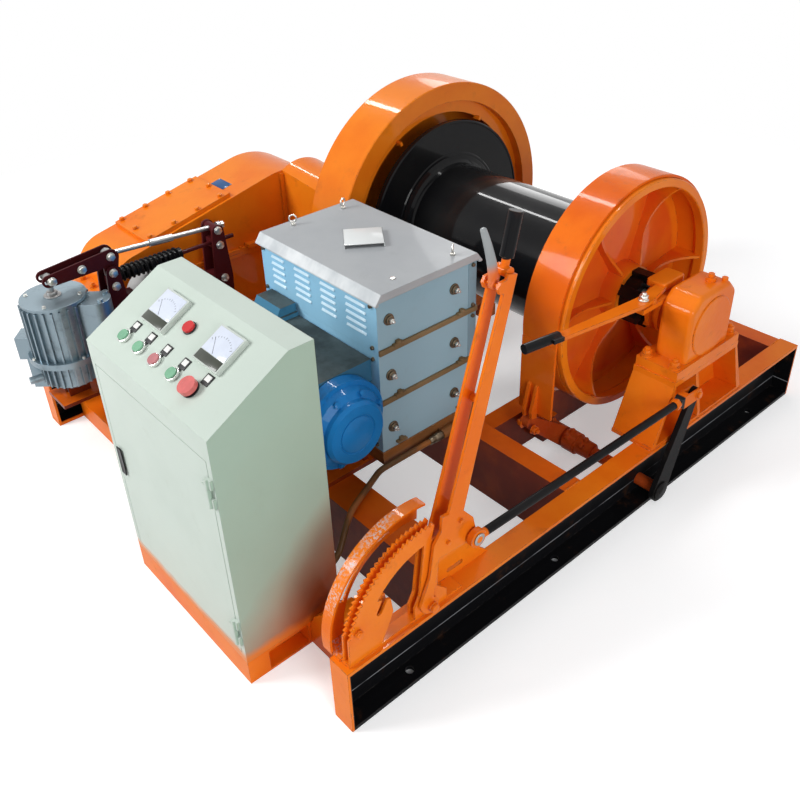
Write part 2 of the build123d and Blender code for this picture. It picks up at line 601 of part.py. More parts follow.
for x0 in (x_far - 12, near_x1 + 4):
    lever += plate_x([(top_y, top_z - 40), (top_y + 6, top_z - 6), (top_y - 34, top_z - 8),
                      (top_y - 42, top_z - 20),
                      (top_y - 36, top_z - 34)], x0, x0 + 8)
lever += rod_x(5, top_y - 30, top_z - 20, x_far - 5, near_x1 + 5)
grip_x = (x_far + near_x1) / 2
grip_rod = rod_between(9, (grip_x, top_y, top_z), (grip_x, top_y + 30, top_z + 120))
lever += grip_rod + rod_between(15, (grip_x, top_y + 7, top_z + 28), (grip_x, top_y + 30, top_z + 120))
save("brake_lever", lever)

latch_y, latch_z = top_y - 30, top_z - 20
latch = rod_x(11, latch_y, latch_z, grip_x - 6, grip_x + 6)
latch += plate_x([(latch_y - 9, latch_z), (latch_y + 9, latch_z + 2), (latch_y - 30, latch_z + 132),
                  (latch_y - 42, latch_z + 130)],
                 grip_x - 5, grip_x + 5)
latch -= rod_x(5 + run_gap, latch_y, latch_z, grip_x - 7, grip_x + 7)
save("latch_handle", latch)

rod_x_mid = (arm_x0 + arm_x1) / 2
rl = hypot(arm_top_y - link_y, arm_top_z - link_z)
ry, rz = (arm_top_y - link_y) / rl, (arm_top_z - link_z) / rl
pull = rod_between(11, (rod_x_mid, link_y + 16 * ry, link_z + 16 * rz),
                   (rod_x_mid, arm_top_y - 60 * ry, arm_top_z - 60 * rz))
pull += rod_x(24, link_y, link_z, arm_x0, arm_x1) - rod_x(9 + run_gap, link_y, link_z, arm_x0 - 1, arm_x1 + 1)
fork = link_x(arm_top_y - 62 * ry, arm_top_z - 62 * rz, 20, arm_top_y, arm_top_z, 19, arm_x0 - 6, arm_x1 + 6)
fork -= block(arm_x0 - 0.5, arm_x1 + 0.5, arm_top_y - 44, arm_top_y + 60, arm_top_z - 60, arm_top_z + 60)
pull += fork
save("brake_rod", pull)

# Gearbox: split casing on the centre line, sloping roof between the two end curves
gear_x0 = -frame_half_x - 135
gear_x1 = gear_x0 + 260
gear_r1 = 118
gear_r2 = 250
bed_z = frame_h
gear_low = block(gear_x0, gear_x1, motor_y - 150, output_y + 240, bed_z + 20, motor_z)
gear_low = fillet(gear_low.edges().filter_by(Axis.X).group_by(Axis.Z)[0], 60)
gear_low += block(gear_x0 - 12, gear_x1 + 12, motor_y - 165, output_y + 255, motor_z - 14, motor_z)
gear_low += block(gear_x0 - 12, gear_x1 + 12, motor_y - 120, output_y + 200, bed_z, bed_z + 24)
save("gearbox_lower_case", gear_low)
roof = link_x(motor_y, motor_z, gear_r1, output_y, motor_z, gear_r2, gear_x0, gear_x1)
roof &= block(gear_x0 - 1, gear_x1 + 1, motor_y - 400, output_y + 400, motor_z, motor_z + 400)
roof += block(gear_x0 - 12, gear_x1 + 12, motor_y - 165, output_y + 255, motor_z, motor_z + 14)
rib_y = output_y - 4
roof += block(gear_x1 - 1, gear_x1 + 9, rib_y - 8, rib_y + 8, motor_z + 10, motor_z + gear_r2 - 8)
roof += block(gear_x1 - 1, gear_x1 + 26, output_y - 190, output_y - 50, motor_z + 12, motor_z + 26)
save("gearbox_upper_case", roof)
hood_y, hood_z = output_y + 85, motor_z + 126
hood_x1 = guard_x0 - 26
hood = turned_x([(gear_x1, 0), (gear_x1, 148), (hood_x1 - 16, 126), (hood_x1, 112), (hood_x1, 0)], hood_y,
                hood_z)
hood -= block(gear_x1 - 1, hood_x1 + 1, hood_y - 200, rib_y + 8.5, hood_z - 200, hood_z + 200)
hood -= block(gear_x1 - 1, hood_x1 + 1, hood_y - 200, hood_y + 200, hood_z - 200, motor_z + 14)
save("pinion_shaft_hood", hood)
roof_t = asin((gear_r2 - gear_r1) / (output_y - motor_y))
roof_y0 = motor_y - gear_r1 * sin(roof_t)
roof_z0 = motor_z + gear_r1 * cos(roof_t)
cover_plane = Plane(origin=((gear_x0 + gear_x1) / 2, roof_y0, roof_z0), x_dir=(1, 0, 0),
                    z_dir=(0, -sin(roof_t), cos(roof_t)))
cover = cover_plane * Pos(0, 72 + 172, 7) * Box(232, 344, 14)
save("gearbox_inspection_cover", cover)

# Motor with its stand, end bell and slip ring housing
motor_x0 = gear_x1 + 245
motor_x1 = motor_x0 + 830
motor_r = 122
foot_w = 40
foot_out = 130
body = turned_x([(motor_x0, 0), (motor_x0, 96), (motor_x0 + 26, motor_r - 2), (motor_x0 + 30, motor_r + 8),
                 (motor_x0 + 48, motor_r + 8),
                 (motor_x0 + 48, motor_r), (motor_x1 - 20, motor_r), (motor_x1 - 20, motor_r + 8),
                 (motor_x1, motor_r + 8),
                 (motor_x1, 0)], motor_y, motor_z)
foot_z = motor_z - 112
for side in (-1, 1):
    for x0 in (motor_x0 + 200, motor_x1 - 110):
        ya, yb = sorted((motor_y + side * 60, motor_y + side * foot_out))
        body += block(x0, x0 + foot_w, ya, yb, foot_z, foot_z + 18)
save("motor_body", body)
bell_x1 = motor_x1 + 70
bell = turned_x([(motor_x1, 0), (motor_x1, motor_r + 8), (motor_x1 + 16, motor_r + 8), (motor_x1 + 16, 116),
                 (motor_x1 + 34, 110),
                 (motor_x1 + 46, 92), (bell_x1 - 10, 92), (bell_x1, 84), (bell_x1, 58), (bell_x1 - 3, 56),
                 (bell_x1 - 3, 0)],
                motor_y, motor_z)
save("motor_end_bell", bell)
slip_x0 = motor_x1 - 349
hump_x0 = slip_x0 - 127
slip_top = motor_z + 130
slip_x1 = motor_x1 - 24
slip = block(slip_x0, slip_x1, motor_y - 92, motor_y + 129, motor_z + 60, slip_top)
slip += block(hump_x0, slip_x0 + 1, motor_y + 40, motor_y + 129, motor_z + 50, slip_top + 12)
slip += plate_x([(motor_y + 60, slip_top + 11), (motor_y + 76, slip_top + 38), (motor_y + 129, slip_top + 38),
                 (motor_y + 129, slip_top + 11)], hump_x0, slip_x0 - 8)
slip -= rod_x(motor_r + face_gap, motor_y, motor_z, hump_x0 - 9, motor_x1)
save("motor_ring_cover", slip)
seat_x0, seat_x1 = motor_x0 + 170, motor_x1 - 40
seat = block(seat_x0, seat_x1, motor_y - 160, motor_y + 160, frame_h, frame_h + 14)
for side in (-1, 1):
    ya, yb = sorted((motor_y + side * 104, motor_y + side * 120))
    seat += block(seat_x0 + 10, seat_x1 - 10, ya, yb, frame_h + 13, foot_z)
    ya, yb = sorted((motor_y + side * 84, motor_y + side * foot_out))
    for x0 in (motor_x0 + 192, motor_x1 - 118):
        seat += block(x0, x0 + foot_w + 16, ya, yb, foot_z - 12, foot_z)
save("motor_seat", seat)
coupling_r = 98
coupling = rod_x(26, motor_y, motor_z, gear_x1 + 12.3, motor_x0 - face_gap) + rod_x(coupling_r, motor_y,
                                                                                    motor_z, gear_x1 + 55,
                                                                                    gear_x1 + 145)
save("motor_coupling", coupling)

# Resistor boxes: three tiers on an angle frame under a folded lid
res_x0 = motor_x1 - 520
res_x1 = res_x0 + 525
res_y0 = motor_y + 132
res_y1 = res_y0 + 368
res_base = frame_h + 57
tier_h = 160
seam = 10
feet = block(res_x0, res_x1, res_y0, res_y1, frame_h + 16, res_base)
feet -= block(res_x0 + 5, res_x1 - 5, res_y0 + 5, res_y1 - 5, frame_h + 15, res_base + 1)
for x0 in (res_x0, res_x1 - 40):
    feet += block(x0, x0 + 40, res_y1 - 40, res_y1, frame_h, frame_h + 20)
gland_x, gland_z = res_x1 + 20, frame_h + 26
gland_y = res_y0 + 206
feet += rod_y(15, gland_x, gland_z, gland_y, gland_y + 57)
feet += block(res_x1 - 5, gland_x, gland_y + 6, gland_y + 50, gland_z - 9, gland_z + 9)
save("resistor_base", feet)
for i, name in enumerate(("lower", "middle", "upper")):
    z0 = res_base + i * tier_h
    tier = block(res_x0 + 3, res_x1 - 3, res_y0 + 3, res_y1 - 3, z0, z0 + tier_h)
    tier -= block(res_x0 + 6, res_x1 - 6, res_y0 + 6, res_y1 - 6, z0 + 3, z0 + tier_h - 3)
    save(f"resistor_tier_{name}", tier)
lid_z = res_base + 3 * tier_h
lip = 8
lid_top = lid_z + 22
lid = plate_x([(res_y0 - lip, lid_z - 8), (res_y0 - lip, lid_z - 4), (res_y0 + 12, lid_top),
               (res_y1 - 12, lid_top),
               (res_y1 + lip, lid_z - 4), (res_y1 + lip, lid_z - 8), (res_y1 - 3 + face_gap, lid_z - 8),
               (res_y1 - 3 + face_gap, lid_z), (res_y0 + 3 - face_gap, lid_z),
               (res_y0 + 3 - face_gap, lid_z - 8)],
              res_x0 - lip, res_x1 + lip)
save("resistor_lid", lid)

# Thruster brake on the motor coupling
br_x = gear_x1 + 100
lift_y = motor_y - 151
rear_y = motor_y + 228
thr_y = lift_y - 185
thr_r = 104
thr_top = motor_z + 130
thr_foot = frame_h + 12
push_r = 9
fin_r = thr_r
wall_r = 94
thruster = rod_z(wall_r, br_x, thr_y, 372, thr_top - 6) + rod_z(fin_r - 6, br_x, thr_y, thr_top - 10, thr_top)
thruster += rod_z(thr_r + 10, br_x, thr_y, 358, 378)
fins = 26
fin = Part() + [Pos(br_x, thr_y, 0) * Rot(0, 0, i * 360 / fins) * block(wall_r - 2, fin_r, -3, 3, 377,
                                                                        thr_top - 12)
                for i in range(fins)]
thruster += fin
thruster += rod_z(82, br_x, thr_y, thr_foot + 62, 360) + Pos(br_x, thr_y, thr_foot + 50) * Cone(46, 82, 26)
low_fins = Part() + [Pos(br_x, thr_y, 0) * Rot(0, 0, i * 360 / fins) * block(80, 92, -3, 3, thr_foot + 66,
                                                                             359)
                     for i in range(fins)]
thruster += low_fins
side_dir = 49
wing = Rot(0, 0, side_dir) * (block(78, 128, -44, 44, 400, thr_top - 14) + rod_z(44, 128, 0, 400,
                                                                                 thr_top - 14))
wing += Rot(0, 0, side_dir) * (rod_z(9, 150, 26, 380, thr_top - 4) + rod_z(9, 150, -26, 380, thr_top - 4))
thruster += Pos(br_x, thr_y, 0) * wing
box = Rot(0, 0, side_dir + 180) * (block(84, 142, -34, 30, 352, 428) - block(143 - 12, 143, -26, 22, 360,
                                                                             420))
box += Rot(0, 0, side_dir + 180) * block(70, 118, -38, 34, 250, 354)
thruster += Pos(br_x, thr_y, 0) * box
gland = Pos(br_x, thr_y, 0) * Rot(0, 0, side_dir + 215) * Pos(112, 0, 300) * Rot(0, 90, 0) * Cylinder(12, 40)
thruster += gland
thruster += block(br_x - 12, br_x + 12, thr_y - 30, thr_y + 30, thr_foot, thr_foot + 44)
thruster -= rod_z(push_r + run_gap, br_x, thr_y, 500, thr_top + 1)
save("thruster_body", thruster)
pin_z = thr_top + 57
link_pin = 7
push = rod_z(push_r, br_x, thr_y, 502, pin_z) + rod_x(14, thr_y, pin_z, br_x - 10, br_x + 10)
push += rod_x(link_pin, thr_y, pin_z, br_x - 30, br_x + 30)
save("thruster_rod", push)
lift_z = pin_z - 35
top_pin_y, top_pin_z = lift_y + 7, lift_z + 50
lift = Part()
slot_run = 12
for x0 in (br_x - 26, br_x + 20):
    side_plate = link_x(thr_y - 8, pin_z, 19, top_pin_y, top_pin_z - 4, 27, x0, x0 + 6)
    side_plate += link_x(top_pin_y, top_pin_z - 4, 27, lift_y, lift_z, 22, x0, x0 + 6)
    side_plate -= link_x(thr_y - slot_run, pin_z - 1, link_pin + 1.5, thr_y, pin_z, link_pin + 1.4, x0 - 1,
                         x0 + 7)
    side_plate -= rod_x(link_pin + run_gap, lift_y, lift_z, x0 - 1, x0 + 7)
    lift += side_plate
lift += rod_x(link_pin, top_pin_y, top_pin_z, br_x - 30, br_x + 30)
lift += rod_x(link_pin, lift_y - 89, lift_z + 40, br_x - 30, br_x + 30)
save("thruster_lever", lift)
base = block(br_x - 60, br_x + 60, thr_y - 74, rear_y + 42, frame_h, thr_foot)
for x0 in (br_x - 20.3, br_x + 12.3):
    base += block(x0, x0 + 8, thr_y - 34, thr_y + 34, thr_foot - 1, thr_foot + 36)
arm_foot_z = frame_h + 40
arm_in = 29
for y in (lift_y, rear_y):
    for x0 in (br_x - arm_in - 17, br_x + arm_in + 9):
        base += link_x(y, thr_foot + 10, 24, y, arm_foot_z, 20, x0, x0 + 8)
    base += rod_x(link_pin, y, arm_foot_z, br_x - arm_in - 10, br_x + arm_in + 10)
save("thruster_brake_base", base)
shoe_gap = 0.5
tie_y, tie_z = rear_y, top_pin_z - 27
tie_bore = 9
tube_z = lift_z - 30
spring_rod_r = 7
for name, y, top in (("brake_arm_front", lift_y, lift_z), ("brake_arm_rear", rear_y, lift_z + 18)):
    jaw_arm = Part()
    for x0 in (br_x - arm_in - 8, br_x + arm_in):
        jaw_arm += link_x(y, arm_foot_z, 22, y, motor_z, 34, x0, x0 + 8) + link_x(y, motor_z, 34, y, top, 22,
                                                                                  x0, x0 + 8)
    s = -1 if y < motor_y else 1
    r_in = coupling_r + shoe_gap
    shoe = ring_x(r_in + 22, r_in, motor_y, motor_z, br_x - 32, br_x + 32)
    ya, yb = sorted((motor_y + s * 50, motor_y + s * 200))
    shoe &= block(br_x - 33, br_x + 33, ya, yb, motor_z - 52, motor_z + 52)
    ya, yb = sorted((motor_y + s * (r_in + 20), y + s * 6))
    jaw_arm += shoe + block(br_x - arm_in - 1, br_x + arm_in + 1, ya, yb, motor_z - 14, motor_z + 14)
    jaw_arm -= rod_x(link_pin + run_gap, y, arm_foot_z, br_x - 60, br_x + 60)
    if s < 0:
        jaw_arm += rod_x(link_pin, lift_y, lift_z, br_x - arm_in - 1, br_x + arm_in + 1)
        jaw_arm += block(br_x - arm_in - 1, br_x + arm_in + 1, y - 8, y + 8, tube_z - 32, tube_z)
    else:
        jaw_arm += rod_x(15, tie_y, tie_z, br_x - arm_in - 1, br_x + arm_in + 1)
        jaw_arm -= rod_between(tie_bore, (br_x, tie_y - 40, tie_z + 3), (br_x, tie_y + 40, tie_z - 3))
        jaw_arm += block(br_x - arm_in - 1, br_x + arm_in + 1, y - 14, y + 14, tube_z - 16, tube_z + 16)
        jaw_arm += rod_y(spring_rod_r, br_x, tube_z, y - 148, y + 74)
        jaw_arm += rod_y(13, br_x, tube_z, y + 15, y + 28) + rod_y(12, br_x, tube_z, y + 30, y + 38)
    save(name, jaw_arm)
drop = (tie_z - top_pin_z) / (tie_y - top_pin_y)
tie_tail = tie_y + 42
tie_near = tie_y + 16.5
tie = rod_between(8, (br_x, top_pin_y + 14, top_pin_z + 14 * drop),
                  (br_x, tie_tail, top_pin_z + (tie_tail - top_pin_y) * drop))
tie += rod_between(14, (br_x, tie_near, top_pin_z + (tie_near - top_pin_y) * drop),
                   (br_x, tie_near + 12, top_pin_z + (tie_near + 12 - top_pin_y) * drop))
tie += rod_x(18, top_pin_y, top_pin_z, br_x - 9, br_x + 9)
tie += rod_between(12, (br_x, top_pin_y + 144, top_pin_z + 144 * drop),
                   (br_x, top_pin_y + 224, top_pin_z + 224 * drop))
tie -= rod_x(link_pin + run_gap, top_pin_y, top_pin_z, br_x - 10, br_x + 10)
save("tie_rod", tie)
tube_r = 20
tube_y1 = rear_y - 128
tube = rod_y(tube_r, br_x, tube_z, lift_y + 8, tube_y1) - rod_y(tube_r - 5, br_x, tube_z, lift_y + 24,
                                                                tube_y1 + 1)
for i in range(9):
    slot_y = lift_y + 40 + i * 22
    tube -= block(br_x + 8, br_x + tube_r + 1, slot_y, slot_y + 9, tube_z - 12, tube_z + 12)
save("brake_spring_tube", tube)

# Conduit from the desk over the cross member to the resistor base
conduit_r = 9
conduit_bend = 90
conduit_x = desk_x1 - 69
conduit_z = 130
route = [(conduit_x, desk_y1, conduit_z), (conduit_x, desk_y1 + 50, conduit_z),
         (conduit_x - 40, desk_y1 + 132, gland_z - 2),
         (gland_x, res_y0 - 32, gland_z), (gland_x, gland_y, gland_z)]
path = FilletPolyline(*route, radius=[conduit_bend] * 3)
conduit = sweep(Plane(origin=route[0], z_dir=(0, 1, 0)) * Circle(conduit_r), path=path)
save("cable_conduit", conduit)
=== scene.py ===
from math import atan2, cos, pi, radians, sin

import bpy
from mathutils import Matrix, Vector


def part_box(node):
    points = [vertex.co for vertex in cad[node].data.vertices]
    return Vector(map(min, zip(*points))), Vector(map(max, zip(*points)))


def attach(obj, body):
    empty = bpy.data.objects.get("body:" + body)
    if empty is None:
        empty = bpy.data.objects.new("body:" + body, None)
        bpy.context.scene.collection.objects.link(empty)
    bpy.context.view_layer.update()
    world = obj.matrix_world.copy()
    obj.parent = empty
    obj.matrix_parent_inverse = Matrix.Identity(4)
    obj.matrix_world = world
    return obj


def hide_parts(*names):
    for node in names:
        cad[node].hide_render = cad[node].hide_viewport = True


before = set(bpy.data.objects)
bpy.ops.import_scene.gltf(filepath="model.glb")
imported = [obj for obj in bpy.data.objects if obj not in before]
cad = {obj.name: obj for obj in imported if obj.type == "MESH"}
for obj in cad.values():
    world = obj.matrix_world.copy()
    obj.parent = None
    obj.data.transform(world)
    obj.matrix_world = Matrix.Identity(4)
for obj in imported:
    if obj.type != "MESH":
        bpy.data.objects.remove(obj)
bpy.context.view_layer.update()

# Studio: a pale floor, big soft lamps in front, beside, behind and overhead, and a long narrow lamp
# that shows only as a streak in glossy paint. The camera stands above the front right corner.
view_turn, view_drop, view_roll = radians(49.0056), radians(32.4449), radians(-1.6912)
camera_data = bpy.data.cameras.new("camera")
camera_data.sensor_width = 36
camera_data.lens = 39.684
camera_data.shift_x = -0.01163
camera_data.shift_y = -0.05453
camera = bpy.data.objects.new("camera", camera_data)
bpy.context.scene.collection.objects.link(camera)
camera.matrix_world = (Matrix.Translation((1.884, -1.6815, 1.812)) @ Matrix.Rotation(view_turn, 4, "Z")
                       @ Matrix.Rotation(pi / 2 - view_drop, 4, "X") @ Matrix.Rotation(view_roll, 4, "Z"))
bpy.context.scene.camera = camera
bpy.context.scene.view_settings.view_transform = "Standard"


def lamp(name, place, aim, size, watts):
    data = bpy.data.lights.new(name, "AREA")
    data.shape = "DISK"
    data.size = size
    data.energy = watts
    made = bpy.data.objects.new(name, data)
    bpy.context.scene.collection.objects.link(made)
    turn = (Vector(aim) - Vector(place)).to_track_quat("-Z", "Y").to_matrix().to_4x4()
    made.matrix_world = Matrix.Translation(place) @ turn
    return made


lamp("lamp_front", (-2.0, -4.2, 3.4), (0, -0.2, 0.4), 2.0, 190)
lamp("lamp_right", (4.4, -1.6, 1.9), (0, 0, 0.4), 2.2, 80)
overhead = lamp("lamp_top", (-0.4, 0.2, 4.6), (0, 0, 0), 3.0, 32)
overhead.visible_glossy = False
strip = lamp("lamp_strip", (-1.5, 0.95, 4.0), (-1.5, 0.4, 0.6), 5.0, 170)
strip.data.shape = "RECTANGLE"
strip.data.size_y = 0.24
strip.visible_diffuse = False
lamp("lamp_back", (-3.2, 4.2, 2.8), (0, 0, 0.5), 2.2, 60)


def adder(material):
    """Gives a call that adds a shader node and sets or links its inputs by name."""
    tree = material.node_tree

    def add(kind, settings=None, **inputs):
        made = tree.nodes.new("ShaderNode" + kind)
        for key, value in (settings or {}).items():
            setattr(made, key, value)
        for key, value in inputs.items():
            name = key.replace("_", " ")
            socket = made.inputs[int(name[1:])] if name[1:].isdigit() else made.inputs[name]
            if isinstance(value, bpy.types.NodeSocket):
                tree.links.new(value, socket)
            else:
                socket.default_value = value
        return made

    return add


def fresh(name):
    material = bpy.data.materials.new(name)
    material.use_nodes = True
    material.node_tree.nodes.clear()
    return material, adder(material)


def maths(add, operation, *values):
    inputs = {f"i{i}": value for i, value in enumerate(values)}
    return add("Math", {"operation": operation}, **inputs).outputs[0]


def seen_directly(add):
    """1 for rays from the camera and for those mirrored or let through by the winch."""
    path = add("LightPath")
    seen = maths(add, "MAXIMUM", path.outputs["Is Camera Ray"], path.outputs["Is Glossy Ray"])
    return maths(add, "MAXIMUM", seen, path.outputs["Is Transmission Ray"])


def level(add, coords, axis):
    return add("SeparateXYZ", Vector=coords).outputs[axis]


def times(add, first, second):
    return maths(add, "MULTIPLY", first, second)


def reach(add, value, start, end):
    """0 at the start and before it, 1 at the end and past it."""
    return add("MapRange", Value=value, From_Min=start, From_Max=end).outputs[0]


def between(add, value, low, high, soft=0.0004):
    """1 where the value lies between low and high."""
    above = reach(add, value, low - soft, low + soft)
    return times(add, above, reach(add, value, high + soft, high - soft))


world = bpy.data.worlds.new("studio")
bpy.context.scene.world = world
world.use_nodes = True
world.node_tree.nodes.clear()
add = adder(world)
soft_light = add("Background", Color=(0.95, 0.97, 1.0, 1), Strength=0.34)
white = add("Background", Color=(1, 1, 1, 1), Strength=1.0)
sky = add("MixShader", i0=seen_directly(add), i1=soft_light.outputs[0], i2=white.outputs[0])
add("OutputWorld", Surface=sky.outputs[0])

bpy.ops.object.select_all(action="DESELECT")
bpy.ops.mesh.primitive_plane_add(size=60, location=(0, 0, -0.0005))
floor = bpy.context.object
floor.name = "floor"
floor_paint, add = fresh("floor_paint")
coords = add("TexCoord").outputs["Object"]
away = add("VectorMath", {"operation": "LENGTH"}, i0=coords).outputs["Value"]
side = maths(add, "ABSOLUTE", level(add, coords, 0))
along = maths(add, "ABSOLUTE", level(add, coords, 1))
# Painted shadow: the floor's glow is taken away under the side beams, so the floor there shows dark.
painted_shadow_under_beams = times(add, between(add, side, 0.776, 0.840), reach(add, along, 0.981, 0.979))
glow_with_painted_shadow = add("MapRange", Value=painted_shadow_under_beams, To_Min=0.40, To_Max=0.0).outputs[0]
pale = add("BsdfDiffuse", Color=(0.83, 0.83, 0.83, 1), Roughness=1.0)
glow = add("Emission", Color=(1, 1, 1, 1), Strength=glow_with_painted_shadow)
near_floor = add("AddShader", i0=pale.outputs[0], i1=glow.outputs[0])
far_floor = add("Emission", Color=(1, 1, 1, 1), Strength=1.0)
shown = add("MixShader", i0=reach(add, away, 1.9, 3.4), i1=near_floor.outputs[0], i2=far_floor.outputs[0])
both = add("MixShader", i0=seen_directly(add), i1=pale.outputs[0], i2=shown.outputs[0])
add("OutputMaterial", Surface=both.outputs[0])
floor.data.materials.append(floor_paint)


# Skid frame: rolled steel channels welded into a rectangle and sprayed with thick glossy orange
# enamel. The outer recess of the side channels is brushed black with a pale line painted along it as a
# highlight; the cross members are set a darker orange as painted shade, with painted shade in dark
# brown red on their upright faces.
def noise(add, coords, scale, detail=4.0, rough=0.55, stretch=None):
    if stretch:
        coords = add("Mapping", Vector=coords, Scale=stretch).outputs[0]
    return add("TexNoise", Vector=coords, Scale=scale, Detail=detail, Roughness=rough).outputs["Fac"]


def ramp(add, value, low, high):
    """Maps low..high to 0..1 with a smooth step."""
    smooth = {"interpolation_type": "SMOOTHSTEP"}
    return add("MapRange", smooth, Value=value, From_Min=low, From_Max=high).outputs[0]


def mix(add, factor, first, second):
    made = add("Mix", {"data_type": "RGBA"})
    tree = made.id_data
    for socket, value in ((made.inputs[0], factor), (made.inputs[6], first), (made.inputs[7], second)):
        if isinstance(value, bpy.types.NodeSocket):
            tree.links.new(value, socket)
        else:
            socket.default_value = (*value, 1) if isinstance(value, tuple) else value
    return made.outputs[2]


def enamel(name, colour, thin, dirt, rough=0.30, gloss=0.16, mirror=0.03, peel=0.12, chips=0.0,
           chip=(0.05, 0.045, 0.04), soot=0.35, patch=None, rim=False):
    """Sprayed enamel: slow colour drift, orange peel, dulled and dirty patches, worn corners."""
    material, add = fresh(name)
    coords = add("TexCoord").outputs["Object"]
    base = mix(add, ramp(add, noise(add, coords, 4.2, 5.0), 0.36, 0.66), colour, thin)
    if patch:
        base = patch(add, coords, base)
    grime = ramp(add, noise(add, coords, 13.0, 8.0, 0.68), 0.56, 0.78)
    base = mix(add, times(add, grime, soot), base, dirt)
    rounded = add("Bevel", {"samples": 4}, Radius=0.0022).outputs[0]
    if chips:
        flat = add("NewGeometry").outputs["Normal"]
        turn = add("VectorMath", {"operation": "DOT_PRODUCT"}, i0=rounded, i1=flat).outputs["Value"]
        edge = ramp(add, turn, 0.985, 0.93)
        worn = times(add, edge, ramp(add, noise(add, coords, 38.0, 6.0, 0.7), 0.52 - chips * 0.2, 0.62))
        base = mix(add, worn, base, chip)
    shine = add("MapRange", Value=grime, To_Min=rough, To_Max=rough + 0.22).outputs[0]
    grain = noise(add, coords, 150.0, 3.0)
    wave = noise(add, coords, 24.0, 2.0)
    height = maths(add, "MULTIPLY_ADD", wave, 2.5, grain)
    bump = add("Bump", Strength=peel, Distance=0.0012, Height=height, Normal=rounded)
    if rim:
        facing = add("LayerWeight", Blend=0.5).outputs["Facing"]
        gloss = add("MapRange", Value=facing, From_Min=0.5, From_Max=0.95, To_Min=gloss).outputs[0]
    skin = add("BsdfPrincipled", Base_Color=base, Roughness=shine, Normal=bump.outputs[0],
               Specular_IOR_Level=mirror, Coat_Weight=gloss, Coat_Roughness=0.06)
    add("OutputMaterial", Surface=skin.outputs[0])
    return material


def coat(material, *names):
    for name in names:
        cad[name].data.materials.clear()
        cad[name].data.materials.append(material)


orange = (0.86, 0.205, 0.009)
orange_thin = (0.79, 0.152, 0.006)
# Brown red painted on the upright faces of the cross members as painted shade.
painted_shade_red = (0.17, 0.020, 0.007)
dust_brown = (0.16, 0.06, 0.02)
black_enamel = (0.006, 0.006, 0.007)
web_low, web_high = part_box("side_beam_right")
beam_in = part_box("front_cross_beam")[1].x


def black_recess(add, coords, base):
    """The outer side of the channel below its top flange is brushed black, with one pale line painted low on
    the web as a highlight.
    """
    z = level(add, coords, 2)
    out = maths(add, "ABSOLUTE", level(add, coords, 0))
    y = level(add, coords, 1)
    wobble = times(add, noise(add, coords, 30.0, 3.0), 0.004)
    limit = maths(add, "ADD", z, wobble)
    mask = between(add, limit, -0.01, web_high.z - 0.0085)
    mask = times(add, mask, between(add, out, beam_in + 0.0045, 0.9))
    mask = times(add, mask, between(add, y, web_low.y + 0.0065, web_high.y - 0.0065))
    # Painted highlight: a thin pale line low on the black web.
    painted_highlight_line = times(add, between(add, z, 0.0508, 0.0534), ramp(add, noise(add, coords, 6.0), 0.30, 0.55))
    black = mix(add, painted_highlight_line, black_enamel, (0.34, 0.35, 0.37))
    return mix(add, mask, base, black)


def turned(add, axis):
    """1 on faces square to an axis, 0 on faces along it."""
    return maths(add, "ABSOLUTE", level(add, add("NewGeometry").outputs["Normal"], axis))


def shaded_upright_faces(add, coords, base):
    """Upright faces are painted brown red as painted shade, flat tops keep the full orange."""
    side = ramp(add, turned(add, 2), 0.75, 0.35)
    patchy = ramp(add, noise(add, coords, 7.0, 5.0), 0.28, 0.6)
    amount = maths(add, "MULTIPLY_ADD", times(add, side, patchy), 0.25, times(add, side, 0.72))
    return mix(add, amount, base, painted_shade_red)


frame_orange = enamel("frame_orange", orange, orange_thin, dust_brown, chips=0.35)
beam_orange = enamel("beam_orange", orange, orange_thin, dust_brown, chips=0.35, peel=0.2,
                     patch=black_recess)
# Painted shade: the cross members' orange is set darker than the frame's for their place in shade inside the
# frame; the motor seat and thruster base take the same.
cross_orange_shaded = enamel("cross_orange_shaded", (0.76, 0.138, 0.008), (0.66, 0.10, 0.006), dust_brown, chips=0.3,
                      patch=shaded_upright_faces)
coat(beam_orange, "side_beam_right", "side_beam_left")
coat(cross_orange_shaded, "motor_cross_beam", "middle_cross_beam", "rear_cross_beam", "inner_long_beams")
coat(frame_orange, "front_cross_beam", "desk_base_frame")


def select_only(piece):
    if bpy.context.object and bpy.context.object.mode != "OBJECT":
        bpy.ops.object.mode_set(mode="OBJECT")
    bpy.ops.object.select_all(action="DESELECT")
    if piece:
        piece.select_set(True)
        bpy.context.view_layer.objects.active = piece


def settle(piece, matrix=None):
    """Puts a piece in place and keeps that place in its mesh."""
    if matrix is not None:
        bpy.context.view_layer.update()
        piece.matrix_world = matrix @ piece.matrix_world
    select_only(piece)
    bpy.ops.object.transform_apply(location=True, rotation=True, scale=True)
    return piece


def join(name, pieces):
    """One piece of several, with the first one's materials."""
    select_only(pieces[0])
    for piece in pieces:
        piece.select_set(True)
    if len(pieces) > 1:
        bpy.ops.object.join()
    made = bpy.context.object
    made.name = name
    return made


def finish(piece, material, body="frame"):
    piece.data.materials.clear()
    piece.data.materials.append(material)
    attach(piece, body)
    return piece


def aimed(point, direction, spin=0.0):
    """Matrix that carries the origin to a point and +Z to a direction."""
    turn = Vector(direction).to_track_quat("Z", "Y").to_matrix().to_4x4()
    return Matrix.Translation(point) @ turn @ Matrix.Rotation(spin, 4, "Z")


ripple_step = 0.0042


